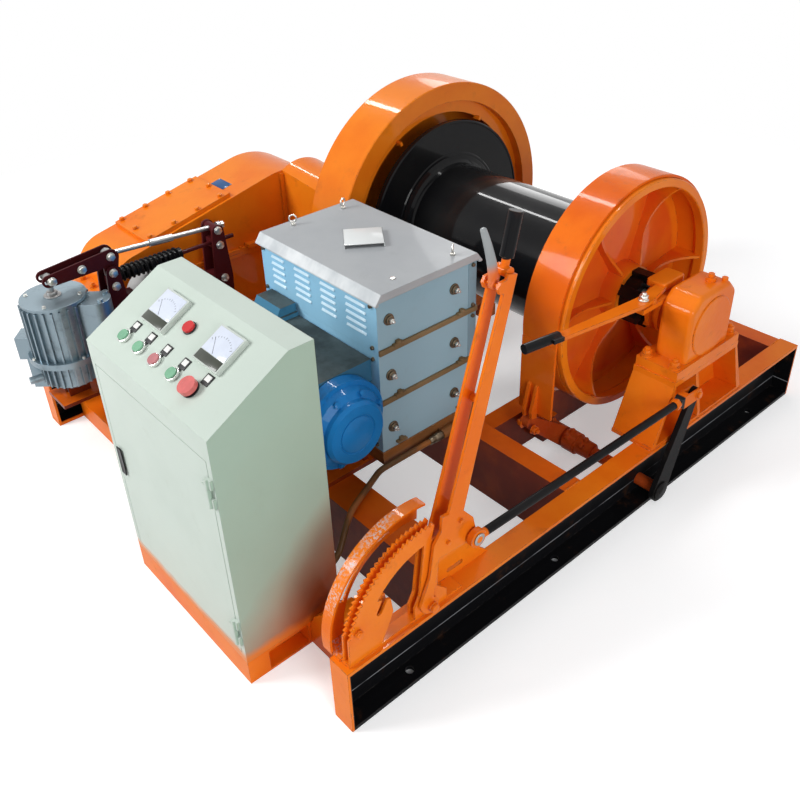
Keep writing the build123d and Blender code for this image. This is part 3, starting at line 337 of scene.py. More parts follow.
def weld(name, lines, material, width=0.007):
    """Fillet welds: rows of overlapping ripples from one point to another."""
    runs = []
    for low, high in lines:
        low, high = Vector(low), Vector(high)
        select_only(None)
        bpy.ops.mesh.primitive_uv_sphere_add(segments=8, ring_count=6, radius=width / 2)
        bead = bpy.context.object
        bead.scale = (1, 1, 0.8)
        settle(bead)
        repeat = bead.modifiers.new("run", "ARRAY")
        repeat.use_relative_offset = False
        repeat.use_constant_offset = True
        repeat.constant_offset_displace = (0, 0, ripple_step)
        repeat.count = max(2, int((high - low).length / ripple_step))
        bpy.ops.object.modifier_apply(modifier="run")
        bpy.ops.object.shade_smooth()
        runs.append(settle(bead, aimed(low, high - low)))
    return finish(join(name, runs), material)


seams = []
for beam in ("motor_cross_beam", "middle_cross_beam", "rear_cross_beam", "front_cross_beam"):
    low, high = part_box(beam)
    for x in (low.x, high.x):
        seams.append(((x, low.y + 0.003, high.z - 0.001), (x, high.y - 0.003, high.z - 0.001)))
inner_low, inner_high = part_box("inner_long_beams")
for x in (inner_high.x - 0.062, inner_low.x + 0.004):
    for y in (inner_low.y, inner_high.y):
        seams.append(((x, y, inner_high.z), (x + 0.058, y, inner_high.z)))
weld("frame_welds", seams, frame_orange)


# Motor: slip ring motor in machine blue on a fabricated seat, held down by four bright bolts. The
# ring cover on its right half has a flat top of bare grey sheet under a film of oil.
def metal(name, colour, rough=0.32, brush=None, dirt=(0.05, 0.035, 0.025), grime=0.4, bump=0.15, scale=1.0):
    """Bare or plated metal: brushed or cast grain, dark film in patches."""
    material, add = fresh(name)
    coords = add("TexCoord").outputs["Object"]
    film = ramp(add, noise(add, coords, 22.0 * scale, 7.0, 0.7), 0.5, 0.78)
    base = mix(add, times(add, film, grime), colour, dirt)
    fine = noise(add, coords, 260.0 * scale, 3.0, 0.6, brush)
    shine = add("MapRange", Value=film, To_Min=rough, To_Max=rough + 0.3).outputs[0]
    rounded = add("Bevel", {"samples": 4}, Radius=0.0012).outputs[0]
    bumped = add("Bump", Strength=bump, Distance=0.0006, Height=fine, Normal=rounded)
    skin = add("BsdfPrincipled", Base_Color=base, Roughness=shine, Normal=bumped.outputs[0], Metallic=1.0)
    add("OutputMaterial", Surface=skin.outputs[0])
    return material


zinc = metal("zinc_bolt", (0.62, 0.61, 0.57), 0.30)
worn_steel = metal("worn_steel", (0.36, 0.355, 0.35), 0.36, brush=(1, 1, 0.04))


def soften(piece, width, rings=2, angle=35):
    """Rounds a piece's sharp edges and smooths its shading."""
    made = piece.modifiers.new("round", "BEVEL")
    made.width = width
    made.segments = rings
    made.limit_method = "ANGLE"
    made.angle_limit = radians(angle)
    select_only(piece)
    bpy.ops.object.modifier_apply(modifier="round")
    bpy.ops.object.shade_smooth_by_angle(angle=radians(40))
    return piece


def block(size, middle=(0, 0, 0)):
    """A plain box with sharp edges."""
    select_only(None)
    bpy.ops.mesh.primitive_cube_add(size=1, location=middle)
    made = bpy.context.object
    made.scale = size
    return settle(made)


def bar(low, high, edge=0.0015):
    """A rolled flat or block between two corners, with rounded edges."""
    low, high = Vector(low), Vector(high)
    return soften(block(high - low, (low + high) / 2), edge)


def round_bar(radius, low, high, edge=0.001, sides=28):
    """A turned length from one point to another."""
    select_only(None)
    low, high = Vector(low), Vector(high)
    bpy.ops.mesh.primitive_cylinder_add(vertices=sides, radius=radius, depth=(high - low).length)
    return soften(settle(bpy.context.object, aimed((low + high) / 2, high - low)), edge)


def hexagon(across, low, high):
    """A nut or bolt head along Z with its corners turned off."""
    select_only(None)
    bpy.ops.mesh.primitive_cylinder_add(vertices=6, radius=across * 0.577, depth=high - low,
                                        location=(0, 0, (low + high) / 2))
    nut = bpy.context.object
    bpy.ops.object.mode_set(mode="EDIT")
    bpy.ops.mesh.select_all(action="SELECT")
    bpy.ops.mesh.bevel(offset=across * 0.05, segments=2, affect="EDGES")
    bpy.ops.object.mode_set(mode="OBJECT")
    bpy.ops.object.shade_smooth_by_angle(angle=radians(30))
    return settle(nut)


def bolt(across, head, washer, thread=0.0):
    """Hexagon head on a plain washer, standing on the origin along +Z; thread gives a stud end."""
    top = 0.0025 + head
    parts = [round_bar(washer, (0, 0, 0), (0, 0, 0.0025), 0.0006, 20), hexagon(across, 0.0025, top)]
    if thread:
        parts.append(round_bar(across * 0.31, (0, 0, top), (0, 0, top + thread), across * 0.06, 14))
    return join("bolt_master", parts)


patterns = set()


def copies(name, master, places):
    """Copies of a modelled piece, each with its own mesh, joined under one name."""
    patterns.add(master)
    made = []
    for matrix in places:
        piece = master.copy()
        piece.data = master.data.copy()
        bpy.context.scene.collection.objects.link(piece)
        piece.data.transform(matrix)
        made.append(piece)
    return join(name, made)


def touch(node, start, toward, spin=0.0):
    """Matrix that stands a piece where a line from the start meets a part, along its surface normal."""
    hit, place, normal, _ = cad[node].ray_cast(Vector(start), Vector(toward).normalized())
    if not hit:
        raise ValueError(f"nothing of {node} in line with {tuple(start)}")
    return aimed(place, normal, spin)


def oily_top(add, coords, base):
    """Flat tops are bare grey sheet under a film of oil."""
    up = ramp(add, level(add, add("NewGeometry").outputs["Normal"], 2), 0.8, 0.97)
    blotch = ramp(add, noise(add, coords, 8.0, 6.0, 0.65), 0.35, 0.65)
    grey = mix(add, blotch, (0.085, 0.112, 0.115), (0.040, 0.050, 0.050))
    return mix(add, up, base, grey)


blue, blue_thin, soot_grey = (0.016, 0.21, 0.55), (0.013, 0.16, 0.43), (0.03, 0.04, 0.05)
motor_blue = enamel("motor_blue", blue, blue_thin, soot_grey, rough=0.28, peel=0.3, soot=0.5)
cover_blue = enamel("cover_blue", (0.055, 0.19, 0.30), (0.04, 0.14, 0.23), soot_grey, rough=0.32, peel=0.2,
                    soot=0.3, patch=oily_top)
coat(motor_blue, "motor_body", "motor_end_bell")
coat(cover_blue, "motor_ring_cover")
coat(cross_orange_shaded, "motor_seat")
bell_low, bell_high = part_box("motor_end_bell")
motor_y, motor_z = (bell_low.y + bell_high.y) / 2, (bell_low.z + bell_high.z) / 2
m16 = bolt(0.024, 0.012, 0.015, 0.008)
m12 = bolt(0.018, 0.009, 0.012, 0.005)
m10 = bolt(0.016, 0.007, 0.010)
m6 = bolt(0.010, 0.004, 0.0062)
places = [touch("motor_end_bell", (0.6, motor_y + cos(a) * 0.102, motor_z + sin(a) * 0.102), (-1, 0, 0), a)
          for a in [radians(22 + 45 * i) for i in range(8)]]
finish(copies("bell_bolts", m10, places), motor_blue)
feet = [(x, motor_y + side * 0.114) for x in (-0.250, 0.270) for side in (-1, 1)]
places = [touch("motor_body", (x, y, motor_z - 0.07), (0, 0, -1), x * 7) for x, y in feet]
finish(copies("motor_foot_bolts", m12, places), zinc)
cap = round_bar(0.052, (bell_high.x - 0.003, motor_y, motor_z), (bell_high.x - 0.0005, motor_y, motor_z),
                0.001, 48)
cap.name = "bell_cap"
finish(cap, motor_blue)
cover_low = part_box("motor_ring_cover")[0]
catch = [bar((0.092, cover_low.y - 0.004, 0.548), (0.128, cover_low.y, 0.562), 0.001),
         round_bar(0.004, (0.088, cover_low.y - 0.003, 0.562), (0.132, cover_low.y - 0.003, 0.562),
                   0.0008, 16)]
finish(join("ring_cover_catch", catch), motor_blue)

# Resistor boxes: three sheet steel tiers stacked on an angle frame, brown ledges along their seams,
# a big terminal bolt near each end of a tier, louvres in the upper tier and a folded lid over all.
res_low, res_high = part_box("resistor_tier_upper")
base_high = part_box("resistor_base")[1]
seam_z = [base_high.z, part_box("resistor_tier_lower")[1].z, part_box("resistor_tier_middle")[1].z]
face_x = res_high.x


def shaded_x_faces(add, coords, base):
    """Faces turned along the drum are painted greyer and darker than the sky blue ones at front and back, as
    painted shade.
    """
    return mix(add, ramp(add, turned(add, 0), 0.5, 0.9), base, (0.30, 0.46, 0.54))


def bright_lip(add, coords, base):
    """The sloping front and back lips of the lid are bare bright sheet."""
    streak = ramp(add, noise(add, coords, 9.0, 4.0, 0.6, (1, 1, 0.2)), 0.3, 0.7)
    silver = mix(add, streak, (0.74, 0.76, 0.77), (0.50, 0.53, 0.55))
    return mix(add, ramp(add, turned(add, 1), 0.35, 0.6), base, silver)


resistor_blue = enamel("resistor_blue", (0.30, 0.57, 0.76), (0.27, 0.53, 0.72), (0.20, 0.19, 0.17),
                       rough=0.34, peel=0.05, soot=0.10, patch=shaded_x_faces)
lid_grey = enamel("lid_grey", (0.43, 0.445, 0.455), (0.39, 0.405, 0.42), (0.22, 0.21, 0.19), peel=0.04,
                  soot=0.12, patch=bright_lip)
angle_brown = enamel("angle_brown", (0.24, 0.165, 0.085), (0.18, 0.115, 0.055), (0.06, 0.04, 0.02), rough=0.5,
                     peel=0.3, chips=0.3)
base_brown = enamel("base_brown", (0.36, 0.13, 0.035), (0.20, 0.085, 0.03), (0.05, 0.03, 0.02), rough=0.45,
                    peel=0.3, chips=0.4, chip=(0.45, 0.30, 0.18))
coat(resistor_blue, "resistor_tier_lower", "resistor_tier_middle", "resistor_tier_upper")
coat(lid_grey, "resistor_lid")
coat(base_brown, "resistor_base")
ledges, lugs = [], []
terminal_y = (-0.427, -0.191)
for z in seam_z[1:]:
    ledges.append(bar((face_x - 0.0005, res_low.y, z - 0.001), (face_x + 0.007, res_high.y, z + 0.015),
                      0.0012))
for z in seam_z:
    for y in terminal_y:
        lugs.append(bar((face_x - 0.0005, y + 0.008, z + 0.012), (face_x + 0.012, y + 0.044, z + 0.019)))
        rod_x, rod_y = face_x + 0.006, y + 0.026
        lugs.append(round_bar(0.008, (rod_x, rod_y, z + 0.017), (rod_x, rod_y, z + 0.026)))
finish(join("seam_ledges", ledges + lugs), angle_brown)
post = bar((face_x - 0.0005, res_high.y - 0.032, base_high.z),
           (face_x + 0.0012, res_high.y - 0.001, res_high.z - 0.009), 0.0004)
post.name = "corner_post"
grey_post = enamel("grey_post", (0.22, 0.33, 0.39), (0.19, 0.29, 0.35), (0.08, 0.08, 0.08), rough=0.4,
                   peel=0.05)
finish(post, grey_post)
bronze_dark = metal("bronze_dark", (0.16, 0.125, 0.085), 0.42, grime=0.6)
terminal_z = (0.331, 0.503, 0.674)
terminals = [aimed((face_x, y, z), (1, 0, 0), y * 5) for z in terminal_z for y in terminal_y]
cup = join("cup", [round_bar(0.0165, (0, 0, 0), (0, 0, 0.004), 0.001, 32),
                   round_bar(0.013, (0, 0, 0.004), (0, 0, 0.010))])
finish(copies("terminal_cups", cup, terminals), bronze_dark)
nut = join("nut", [hexagon(0.014, 0.010, 0.018), round_bar(0.0042, (0, 0, 0.018), (0, 0, 0.025), 0.001, 14)])
finish(copies("terminal_nuts", nut, terminals), zinc)
screws = []
for z in seam_z:
    for dz in (0.017, 0.142):
        for x in (res_low.x + 0.013, res_high.x - 0.022):
            screws.append(aimed((x, res_low.y, z + dz), (0, -1, 0), x))
            screws.append(aimed((x, res_high.y, z + dz), (0, 1, 0), x))
        screws.append(aimed((face_x + 0.001, res_high.y - 0.016, z + dz + 0.004), (1, 0, 0), z))
finish(copies("tier_screws", m6, screws), bronze_dark)


def pick(piece, kind, test):
    """Selects the corners or faces of a piece that pass a test, and stays in edit mode."""
    select_only(piece)
    bpy.ops.object.mode_set(mode="EDIT")
    bpy.ops.mesh.select_mode(type=kind)
    bpy.ops.mesh.select_all(action="DESELECT")
    bpy.ops.object.mode_set(mode="OBJECT")
    for part in piece.data.vertices if kind == "VERT" else piece.data.polygons:
        part.select = test(part)
    bpy.ops.object.mode_set(mode="EDIT")


louvre_x = ((-0.104, -0.044), (0.006, 0.076), (0.126, 0.190), (0.236, 0.318))
louvre = settle(block((1, 0.005, 0.0066)), Matrix.Translation((0, -0.0022, 0)))
pick(louvre, "VERT", lambda corner: corner.co.y < -0.003 and corner.co.z > 0)
bpy.ops.transform.translate(value=(0, 0.004, 0))
bpy.ops.object.mode_set(mode="OBJECT")
slats = []
for low, high in louvre_x:
    for i in range(5):
        x, z = (low + high) / 2, 0.626 + 0.0205 * i
        wide = Matrix.Diagonal((high - low, 1, 1, 1))
        slats.append(Matrix.Translation((x, res_low.y, z)) @ wide)
        slats.append(Matrix.Translation((x, res_high.y, z)) @ Matrix.Rotation(pi, 4, "Z") @ wide)
# Painted highlight: the louvres are painted near white for the light their raised lips catch.
louvre_painted_highlight = enamel("louvre_painted_highlight", (0.62, 0.80, 0.90), (0.56, 0.75, 0.87), (0.3, 0.3, 0.3), peel=0.03,
                      soot=0.1)
finish(soften(copies("louvres", louvre, slats), 0.0008, 1), louvre_painted_highlight)

lid_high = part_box("resistor_lid")[1].z
eye = [round_bar(0.0035, (0, 0, 0), (0, 0, 0.011), 0.0006, 14), hexagon(0.013, 0.0, 0.006)]
select_only(None)
bpy.ops.mesh.primitive_torus_add(major_radius=0.0105, minor_radius=0.0025, major_segments=28,
                                 minor_segments=10, location=(0, 0, 0.021), rotation=(pi / 2, 0, 0))
eye.append(settle(bpy.context.object))
eye = join("eye", eye)
bpy.ops.object.shade_smooth()
eyes = [aimed((x, y, lid_high), (0, 0, 1), spin)
        for x, y, spin in ((-0.137, -0.360, 0.9), (-0.130, -0.180, 1.9), (0.335, -0.169, 2.3))]
finish(copies("lid_eyebolts", eye, eyes), zinc)
stud = round_bar(0.007, (0.325, -0.376, lid_high - 0.001), (0.325, -0.376, lid_high + 0.003))
stud.name = "lid_stud"
finish(stud, zinc)
card_white = enamel("card_white", (0.80, 0.81, 0.80), (0.74, 0.76, 0.75), (0.4, 0.4, 0.38), rough=0.35,
                    peel=0.02, soot=0.1)
card_place = Matrix.Translation((0.089, -0.277, lid_high)) @ Matrix.Rotation(radians(-36), 4, "Z")
card = [bar((-0.054, -0.058, 0.0104), (0.054, 0.054, 0.012), 0.0006),
        bar((-0.054, -0.058, 0.0), (0.054, -0.0564, 0.012), 0.0006),
        bar((-0.054, 0.0524, 0.0), (0.054, 0.054, 0.012), 0.0006)]
finish(settle(join("folded_plate", card), card_place), card_white)

# Gearbox: split cast casing in orange on the skid, bolted round its joint flange, with a bolted
# inspection cover on the sloping roof and a blank blue plate riveted above it.
gearbox_orange = enamel("gearbox_orange", (0.86, 0.225, 0.010), (0.81, 0.175, 0.007), (0.20, 0.05, 0.015),
                        rough=0.28, gloss=0.28, peel=0.22, chips=0.25, soot=0.3)
coat(gearbox_orange, "gearbox_upper_case", "gearbox_lower_case", "gearbox_inspection_cover",
     "pinion_shaft_hood")
case_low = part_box("gearbox_upper_case")[0]
lid_low, lid_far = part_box("gearbox_inspection_cover")
down = (0, 0, -1)
places = [touch("gearbox_inspection_cover", (x, lid_low.y + 0.022 + i * 0.094, 1.0), down, i)
          for x in (lid_low.x + 0.014, lid_far.x - 0.014) for i in range(4)]
places += [touch("gearbox_inspection_cover", ((lid_low.x + lid_far.x) / 2, y, 1.0), down)
           for y in (lid_low.y + 0.020, lid_far.y - 0.018)]
finish(copies("inspection_cover_bolts", m10, places), gearbox_orange)
flange_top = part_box("gearbox_lower_case")[1].z + 0.014
places = [aimed((x, case_low.y + 0.022, flange_top), (0, 0, 1), x * 9)
          for x in (-0.955, -0.885, -0.805, -0.735)]
finish(copies("casing_end_bolts", m12, places), gearbox_orange)
places = [aimed((x, case_low.y + 0.10 + 0.148 * i, flange_top), (0, 0, 1), i)
          for x in (case_low.x + 0.0062, -0.7092) for i in range(6)]
finish(copies("casing_side_bolts", m6, places), gearbox_orange)
plate_blue = enamel("plate_blue", (0.03, 0.10, 0.26), (0.025, 0.085, 0.22), (0.2, 0.2, 0.2), peel=0.02)
tag_place = touch("gearbox_upper_case", (-0.838, -0.200, 1.0), down)
tag = settle(bar((-0.040, -0.030, -0.0005), (0.040, 0.030, 0.0012), 0.0005), tag_place)
tag.name = "blank_type_plate"
finish(tag, plate_blue)
rivets = [tag_place @ Matrix.Translation((u, v, 0.001))
          for u in (-0.036, 0.036) for v in (-0.026, 0.026)]
rivet = round_bar(0.0022, (0, 0, 0), (0, 0, 0.0014), 0.0007, 12)
finish(copies("type_plate_rivets", rivet, rivets), zinc)

# Thruster brake on the motor coupling: cast silver actuator with cooling fins, twin dark red levers
# and arms on zinc plated pins, a bright tie rod above and a coiled spring below it.
maroon_red = enamel("maroon_red", (0.085, 0.012, 0.014), (0.06, 0.009, 0.011), (0.05, 0.03, 0.03), rough=0.28,
                    gloss=0.08, soot=0.3)
cast_silver = metal("cast_silver", (0.25, 0.315, 0.355), 0.40, grime=0.5, bump=0.6, scale=0.6)
coat(cast_silver, "thruster_body")
coat(cross_orange_shaded, "thruster_brake_base")
coat(maroon_red, "thruster_lever", "brake_arm_front", "brake_arm_rear")
coat(worn_steel, "tie_rod", "thruster_rod", "motor_coupling")
rod_low, rod_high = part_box("thruster_rod")
thr_x, thr_y = (rod_low.x + rod_high.x) / 2, (rod_low.y + rod_high.y) / 2
thr_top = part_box("thruster_body")[1].z
pin_z = rod_high.z - 0.014
lift_y, rear_y = motor_y - 0.151, motor_y + 0.228
lift_z = pin_z - 0.035
top_pin = (lift_y + 0.007, lift_z + 0.050)
tube_z = lift_z - 0.030
pin_end = bolt(0.022, 0.008, 0.014)


def pin_ends(name, out, spots, body):
    """A washer and nut on both ends of each cross pin."""
    ends = [aimed((thr_x + side * out, y, z), (side, 0, 0), y * 11) for y, z in spots for side in (-1, 1)]
    return finish(copies(name, pin_end, ends), zinc, body)


pin_ends("thruster_rod_nuts", 0.030, [(thr_y, pin_z)], "lift_rod")
pin_ends("lever_pin_nuts", 0.0262, [(lift_y - 0.089, lift_z + 0.040), top_pin], "lift_lever")
pin_ends("front_arm_nuts", 0.037, [(lift_y, lift_z), (lift_y, tube_z - 0.016), (lift_y, motor_z)], "frame")
rear_pins = [(rear_y, top_pin[1] - 0.027), (rear_y, tube_z), (rear_y, motor_z)]
pin_ends("rear_arm_nuts", 0.037, rear_pins, "rear_arm")
pin_ends("brake_foot_nuts", 0.046, [(lift_y, 0.240), (rear_y, 0.240)], "frame")
collar = round_bar(0.026, (thr_x, thr_y, thr_top - 0.0005), (thr_x, thr_y, thr_top + 0.004), 0.0015, 36)
gland = round_bar(0.017, (thr_x, thr_y, thr_top + 0.004), (thr_x, thr_y, thr_top + 0.014), 0.002, 32)
finish(join("thruster_gland", [collar, gland]), worn_steel)
places = [aimed((thr_x + cos(a) * 0.107, thr_y + sin(a) * 0.107, 0.378), (0, 0, 1), a)
          for a in [radians(5 + 90 * i) for i in range(4)]]
places += [aimed((thr_x + cos(a) * 0.082, thr_y + sin(a) * 0.082, thr_top), (0, 0, 1), a)
           for a in [radians(50 + 90 * i) for i in range(4)]]
finish(copies("thruster_screws", m6, places), zinc)
spring_black = enamel("spring_black", black_enamel, (0.02, 0.018, 0.018), (0.05, 0.04, 0.035), gloss=0.06)
coat(spring_black, "brake_spring_tube")
tube_low, tube_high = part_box("brake_spring_tube")
turns, wire_r = 13, 0.0035
select_only(None)
bpy.ops.mesh.primitive_circle_add(vertices=10, radius=wire_r, location=(0.0225, 0, 0),
                                  rotation=(pi / 2, 0, 0))
spring = settle(bpy.context.object)
coil = spring.modifiers.new("coil", "SCREW")
coil.screw_offset = (tube_high.y - tube_low.y - 0.030) / turns
coil.iterations = turns
coil.steps = coil.render_steps = 28
bpy.ops.object.modifier_apply(modifier="coil")
bpy.ops.object.mode_set(mode="EDIT")
bpy.ops.mesh.select_all(action="SELECT")
bpy.ops.mesh.normals_make_consistent(inside=False)
bpy.ops.object.mode_set(mode="OBJECT")
bpy.ops.object.shade_smooth()
settle(spring, Matrix.Translation((thr_x, tube_low.y + 0.015, tube_z)) @ Matrix.Rotation(-pi / 2, 4, "X"))
spring.name = "brake_spring"
finish(spring, spring_black)
tie_slope = atan2(-0.027, rear_y - top_pin[0])
threads = aimed((thr_x, rear_y + 0.033, top_pin[1] - 0.029), (0, cos(tie_slope), sin(tie_slope)))
lock = hexagon(0.022, 0.0, 0.010)
finish(copies("tie_lock_nut", lock, [threads]), zinc, "tie")

# Drum: cast barrel and flange in thick gloss black; brake wheel and gear guard in orange, the wheel's
# dished web painted redder toward the hub as painted shade in its deep recess; all turn on one steel shaft.
drum_black = enamel("drum_black", black_enamel, (0.010, 0.010, 0.010), (0.03, 0.028, 0.026), rough=0.34,
                    gloss=0.26, mirror=0.02, peel=0.10, soot=0.2, rim=True)
drum_low, drum_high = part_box("drum_flange")
drum_y, drum_z = (drum_low.y + drum_high.y) / 2, (drum_low.z + drum_high.z) / 2
wheel_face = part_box("brake_wheel")[1].x


def shaded_web_red(add, coords, base):
    """Deep parts of the wheel's outer face, inside its rim, are painted redder as painted shade in the
    recess.
    """
    dy = maths(add, "SUBTRACT", level(add, coords, 1), drum_y)
    dz = maths(add, "SUBTRACT", level(add, coords, 2), drum_z)
    square = maths(add, "ADD", times(add, dy, dy), times(add, dz, dz))
    inside = ramp(add, square, 0.325 ** 2, 0.30 ** 2)
    depth = ramp(add, level(add, coords, 0), wheel_face - 0.010, wheel_face - 0.080)
    patchy = add("MapRange", Value=noise(add, coords, 6.0, 4.0), From_Min=0.35, From_Max=0.62,
                 To_Min=0.55).outputs[0]
    amount = times(add, times(add, inside, depth), patchy)
    return mix(add, times(add, amount, 0.8), base, (0.74, 0.080, 0.012))


warm_orange, warm_thin = (0.86, 0.222, 0.010), (0.80, 0.175, 0.007)
wheel_orange = enamel("wheel_orange", warm_orange, warm_thin, dust_brown, rough=0.28, gloss=0.26,
                      chips=0.15, soot=0.25, patch=shaded_web_red)
guard_orange = enamel("guard_orange", warm_orange, warm_thin, dust_brown, rough=0.28, gloss=0.26,
                      chips=0.15, soot=0.25)
coat(drum_black, "drum_barrel", "drum_flange", "drum_jaw_hub")
coat(wheel_orange, "brake_wheel")
coat(guard_orange, "gear_guard")
coat(worn_steel, "main_shaft")
coat(frame_orange, "clutch_collar", "bearing_stand_left")

# Bearing stand and housing at the brake end: welded plate stand, cast housing bolted to its cap
# plate, both sprayed together so that the four bolts are orange too.
red_dirt = (0.22, 0.05, 0.015)
housing_orange = enamel("housing_orange", orange, orange_thin, red_dirt, gloss=0.22, peel=0.38, chips=0.3,
                        soot=0.4)
coat(housing_orange, "bearing_stand_right", "bearing_housing_right", "clutch_bracket")
stand_low, stand_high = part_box("bearing_stand_right")
places = [touch("bearing_housing_right", (x, drum_y + side * 0.142, 0.60), down, x * 9)
          for x in (stand_low.x + 0.024, stand_high.x - 0.024) for side in (-1, 1)]
finish(copies("housing_bolts", m16, places), housing_orange)
foot_z = stand_low.z + 0.0005
seams = [((stand_low.x + 0.002, stand_low.y, foot_z), (stand_high.x - 0.002, stand_low.y, foot_z)),
         ((stand_high.x, stand_low.y + 0.002, foot_z), (stand_high.x, stand_high.y - 0.002, foot_z)),
         ((stand_low.x + 0.002, stand_high.y, foot_z), (stand_high.x - 0.002, stand_high.y, foot_z))]
weld("stand_welds", seams, housing_orange, width=0.0055)
left_low, left_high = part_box("bearing_stand_left")
seams = [((x, left_low.y + 0.002, left_low.z + 0.0005), (x, left_high.y - 0.002, left_low.z + 0.0005))
         for x in (left_low.x, left_high.x)]
weld("left_stand_welds", seams, frame_orange, width=0.0055)


# Clutch hand lever: a flat bar on a bracket beside the housing, with a yoke over the sliding collar
# and a black painted grip.
def black_grip_end(add, coords, base):
    y = level(add, coords, 1)
    return mix(add, reach(add, y, grip_y + 0.001, grip_y - 0.001), base, black_enamel)


pivot = (0.705, 0.205)
grip_y = pivot[1] - 0.306
clutch_orange = enamel("clutch_orange", orange, orange_thin, red_dirt, gloss=0.22, peel=0.3, chips=0.3,
                       patch=black_grip_end)
coat(clutch_orange, "clutch_lever")
places = [aimed((pivot[0], pivot[1], 0.6212), (0, 0, 1), 0.4)]
finish(copies("clutch_pivot_nut", m16, places), zinc)
places = [touch("clutch_bracket", (0.7175, 0.236, 0.70), down, 0.2)]
finish(copies("clutch_bracket_bolt", m12, places), housing_orange)

# Band brake and its cross shaft: steel band round the wheel, pulled by a crank on a shaft under the
# beams; bosses and couplings along the shaft, and a black arm outside the right channel.
# Painted shade: the cross shaft and its clamps are painted a darker red than the frame's orange, for the
# shade under the beams.
shaft_red_shaded = enamel("shaft_red_shaded", (0.66, 0.115, 0.020), (0.50, 0.068, 0.013), (0.09, 0.03, 0.02), rough=0.26,
                   gloss=0.08, peel=0.35)
band_orange = enamel("band_orange", (0.86, 0.17, 0.010), (0.76, 0.12, 0.006), dust_brown, rough=0.26,
                     chips=0.2)
coat(band_orange, "brake_band")
coat(shaft_red_shaded, "brake_cross_shaft")
arm_black = enamel("arm_black", black_enamel, (0.012, 0.011, 0.011), (0.05, 0.04, 0.03), rough=0.32,
                   gloss=0.06, mirror=0.02, chips=0.2)
coat(arm_black, "brake_arm")
band_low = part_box("brake_band")[0]
arm_low, arm_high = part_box("brake_arm")
places = [aimed((0.516, band_low.y + 0.013, band_low.z + 0.034), (1, 0, 0), 0.3),
          aimed((0.478, band_low.y + 0.013, band_low.z + 0.034), (-1, 0, 0), 0.3)]
finish(copies("band_lug_bolt", m16, places), band_orange)
cross_y, cross_z = 0.178, 0.048
boss_radius = ((0.451, 0.0335), (0.530, 0.0355), (0.584, 0.029))
clamps = [aimed((x, cross_y, cross_z + r), (0, 0, 1), x * 9) for x, r in boss_radius]
finish(copies("shaft_clamp_bolts", m10, clamps), shaft_red_shaded, "band_shaft")
clamps = [aimed((x, cross_y - r * 0.7, cross_z + r * 0.7), (0, -1, 1), x * 9) for x, r in boss_radius]
finish(copies("shaft_clamp_nuts", m10, clamps), shaft_red_shaded, "band_shaft")
hub_x = arm_high.x
hub = [round_bar(0.030, (hub_x - 0.0005, cross_y, cross_z), (hub_x + 0.005, cross_y, cross_z), 0.002, 36),
       round_bar(0.012, (hub_x + 0.004, cross_y, cross_z), (hub_x + 0.0058, cross_y, cross_z), 0.0006, 24)]
finish(join("arm_hub", hub), arm_black, "band_shaft")

# Hand brake: two toothed plates and a guard band welded to one base plate on the frame, and a lever
# of two flat bars with a plate boot, a black grip and a grey cast latch handle with an orange foot.
rust_dirt = (0.26, 0.06, 0.02)
quadrant_orange = enamel("quadrant_orange", orange, orange_thin, rust_dirt, gloss=0.22, peel=0.45,
                         chips=0.25, soot=0.4)
coat(quadrant_orange, "brake_quadrant")


def blistered_rim(add, coords, base):
    """The top of the guard band is blistered: pale bare spots among the paint."""
    up = ramp(add, level(add, add("NewGeometry").outputs["Normal"], 2), 0.25, 0.5)
    spots = ramp(add, noise(add, coords, 150.0, 5.0, 0.75), 0.49, 0.57)
    zone = ramp(add, noise(add, coords, 9.0, 2.0), 0.42, 0.54)
    return mix(add, times(add, times(add, up, spots), times(add, zone, 0.85)), base, (0.62, 0.52, 0.50))


rim_orange = enamel("rim_orange", orange, orange_thin, rust_dirt, gloss=0.22, peel=0.6, chips=0.25,
                    soot=0.4, patch=blistered_rim)
coat(rim_orange, "quadrant_guard")


def painted_foot(add, coords, base):
    """The handle's lower third was caught by the orange spray."""
    fade = ramp(add, level(add, coords, 2), latch_low.z + 0.062, latch_low.z + 0.034)
    return mix(add, times(add, fade, 0.9), base, orange_thin)


latch_low, latch_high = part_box("latch_handle")
grey_cast = enamel("grey_cast", (0.33, 0.35, 0.355), (0.26, 0.275, 0.28), (0.10, 0.10, 0.09), rough=0.42,
                   gloss=0.10, mirror=0.45, peel=0.3, patch=painted_foot)
latch_x = (latch_low.x + latch_high.x) / 2
latch_y, latch_z = latch_high.y - 0.011, latch_low.z + 0.011
latch = block((0.0120, 0.031, 0.014), (latch_x, latch_y, latch_z + 0.006))
pick(latch, "FACE", lambda face: face.normal.z > 0.9)
for dy, dz, wide, thick in ((-0.004, 0.028, 0.95, 1), (-0.008, 0.030, 0.88, 1),
                            (-0.010, 0.030, 0.84, 0.98), (-0.009, 0.024, 0.86, 0.95),
                            (-0.003, 0.008, 0.80, 0.85)):
    bpy.ops.mesh.extrude_region_move(TRANSFORM_OT_translate={"value": (0, dy, dz)})
    bpy.ops.transform.resize(value=(thick, wide, 1))
bpy.ops.object.mode_set(mode="OBJECT")
rounder = latch.modifiers.new("rounder", "SUBSURF")
rounder.levels = rounder.render_levels = 3
select_only(latch)
bpy.ops.object.modifier_apply(modifier="rounder")
bpy.ops.object.shade_smooth()
boss = round_bar(0.011, (latch_low.x, latch_y, latch_z), (latch_high.x, latch_y, latch_z), 0.0015, 32)
finish(join("latch_lever", [boss, latch]), grey_cast, "latch")
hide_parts("latch_handle")
q_low, q_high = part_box("brake_quadrant")


def black_grip(add, coords, base):
    z = level(add, coords, 2)
    return mix(add, reach(add, z, 1.028, 1.030), base, black_enamel)


